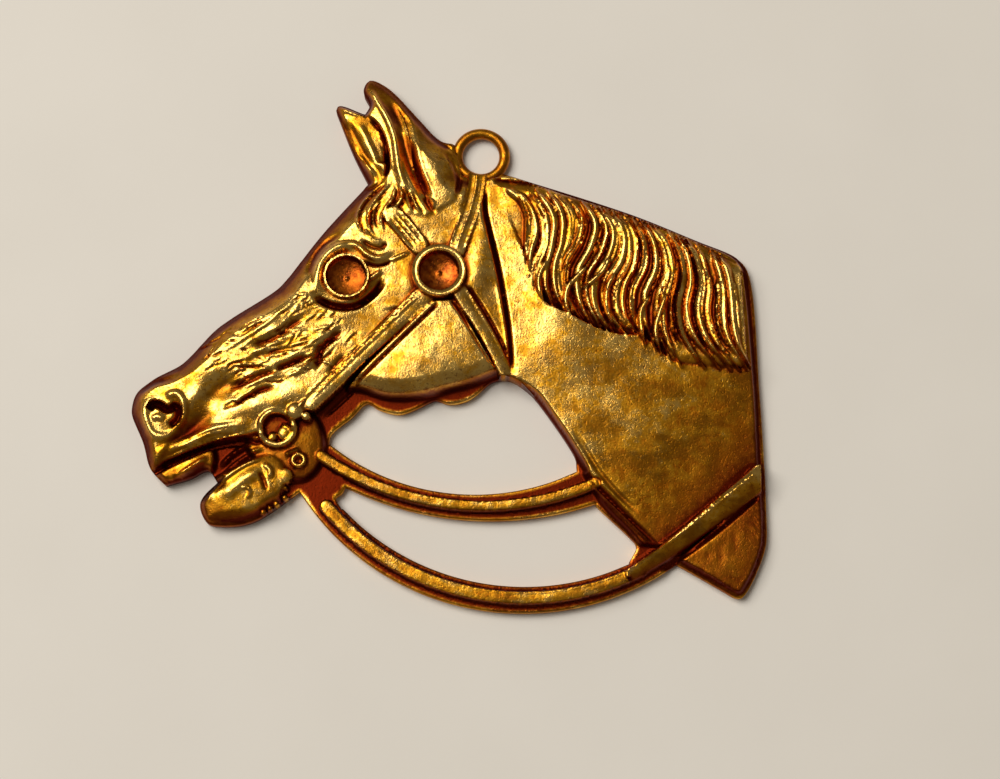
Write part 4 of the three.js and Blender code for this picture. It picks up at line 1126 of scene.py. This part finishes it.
def brass_material():
    """Old brass: pale gold where it is worn, deep gold on the flats, and dark red-brown as patina in the hollows
    and as painted shade on steep walls and low ground.
    """
    shader = Shader("old_brass")
    relief = shader.tree.nodes.new("ShaderNodeAttribute")
    relief.attribute_name = "relief"
    parts = shader.tree.nodes.new("ShaderNodeSeparateColor")
    shader.put(parts.inputs[0], relief.outputs["Color"])
    patina_and_painted_shade, worn, seats = parts.outputs
    mottle = shader.noise(2.2, 6.0)
    fine_mottle = shader.noise(0.6, 5.0)
    pits = shader.span(shader.noise(0.28, 3.0), 0.58, 0.66)
    patchy = shader.math("ADD", worn, shader.span(mottle, 0.3, 0.7, -0.3, 0.3))
    patchy = shader.math("ADD", patchy, shader.span(fine_mottle, 0.3, 0.7, -0.2, 0.2))
    tarnish = shader.span(shader.noise(3.0, 7.0, (1.8, 0.8, 1), 35), 0.46, 0.58, 0.0, 0.8)
    tarnish = shader.math("MULTIPLY", tarnish, shader.span(worn, 0.4, 0.9, 1.0, 0.35))
    ragged_patina_and_shade = shader.math("ADD", patina_and_painted_shade, shader.span(fine_mottle, 0.25, 0.75, -0.14, 0.14))
    colour = shader.blend(shader.span(patchy, 0.1, 0.55), GOLD_DEEP, GOLD_MID)
    colour = shader.blend(shader.span(patchy, 0.5, 1.0), colour, GOLD_WORN)
    colour = shader.blend(shader.math("MULTIPLY", pits, 0.6), colour, PIT)
    colour = shader.blend(tarnish, colour, TARNISH)
    # brown, then dark crimson: patina in the hollows, and painted shade on steep walls and low ground
    colour = shader.blend(shader.span(ragged_patina_and_shade, 0.14, 0.46), colour, BROWN)
    colour = shader.blend(shader.span(ragged_patina_and_shade, 0.42, 0.8), colour, CRIMSON)
    copper = shader.blend(shader.span(fine_mottle, 0.35, 0.65), COPPER_BRIGHT, COPPER_DARK)
    colour = shader.blend(shader.math("MULTIPLY", seats, 0.8), colour, copper)
    surface = shader.surface
    shader.put(surface.inputs["Base Color"], colour)
    surface.inputs["Metallic"].default_value = 1.0
    roughness = shader.math("MULTIPLY", patina_and_painted_shade, 0.1)
    roughness = shader.math("ADD", shader.span(patchy, 0.2, 0.9, 0.34, 0.22), roughness)
    shader.put(surface.inputs["Roughness"], roughness)
    hammered = shader.math("MULTIPLY", shader.noise(1.1, 6.0), 1.5)
    scratches = shader.math("MULTIPLY", shader.noise(0.22, 2.0, (1, 6, 1), 38), 0.4)
    grit = shader.math("ADD", shader.math("ADD", hammered, scratches), shader.noise(0.2, 3.0))
    grit = shader.math("SUBTRACT", grit, shader.math("MULTIPLY", pits, 0.5))
    shader.bump(grit, 0.6, 0.03)
    return shader.material


def floor_material():
    shader = Shader("pale_floor")
    tone = shader.blend(shader.noise(18.0, 4.0), (0.84, 0.79, 0.71, 1), (0.90, 0.85, 0.77, 1))
    shader.put(shader.surface.inputs["Base Color"], tone)
    shader.surface.inputs["Roughness"].default_value = 0.6
    shader.bump(shader.noise(0.8, 4.0), 0.1, 0.05)
    return shader.material


# ---------- the set

def build_casting():
    loops = [rounded_loop(loop) for loop in back_loops(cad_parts[NODE])]
    from_edge = distance_from(loops, WIDEST_SLOPE)
    model_relief(from_edge)
    casting = casting_body(loops)
    join_solids(casting, hanging_ring())
    stain(casting, from_edge)
    casting.data.materials.clear()
    casting.data.materials.append(brass_material())
    casting.data.shade_smooth()
    casting.data.set_sharp_from_angle(angle=math.radians(SHARPEST_SMOOTH))
    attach(casting, "root")
    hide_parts(NODE)


def build_floor():
    reach = 1.5
    corners = [(-reach, -reach, 0), (reach, -reach, 0), (reach, reach, 0), (-reach, reach, 0)]
    floor = mesh_object("floor", np.array(corners), [(0, 1, 2, 3)])
    floor.data.materials.append(floor_material())


def point_at(thing, target):
    direction = Vector(target) - thing.location
    thing.rotation_euler = direction.to_track_quat("-Z", "Y").to_euler()


def build_lights():
    """One broad soft light from the upper left, in a dim warm room."""
    data = bpy.data.lights.new("key", "AREA")
    data.shape = "SQUARE"
    data.size = 0.88
    data.energy = 14.0
    data.color = (1.0, 0.97, 0.92)
    light = bpy.data.objects.new("key", data)
    light.location = (-0.58, 0.38, 1.10)
    bpy.context.scene.collection.objects.link(light)
    point_at(light, (0, 0, 0))
    world = bpy.data.worlds.new("room")
    world.use_nodes = True
    background = world.node_tree.nodes["Background"]
    background.inputs["Color"].default_value = (1.0, 0.92, 0.80, 1)
    background.inputs["Strength"].default_value = 0.15
    bpy.context.scene.world = world


def build_camera():
    """85 mm on a 36 mm sensor, about 256 mm away."""
    elevation = math.radians(78)
    distance = 255.8 * MM
    target = Vector((5.585, -5.094, 0)) * MM
    data = bpy.data.cameras.new("camera")
    data.lens = 85
    data.sensor_width = 36
    data.clip_start = 0.01
    camera = bpy.data.objects.new("camera", data)
    camera.location = target + distance * Vector((0, -math.cos(elevation), math.sin(elevation)))
    bpy.context.scene.collection.objects.link(camera)
    point_at(camera, target)
    bpy.context.scene.camera = camera


build_casting()
build_floor()
build_lights()
build_camera()
bpy.context.scene.view_settings.view_transform = "Standard"
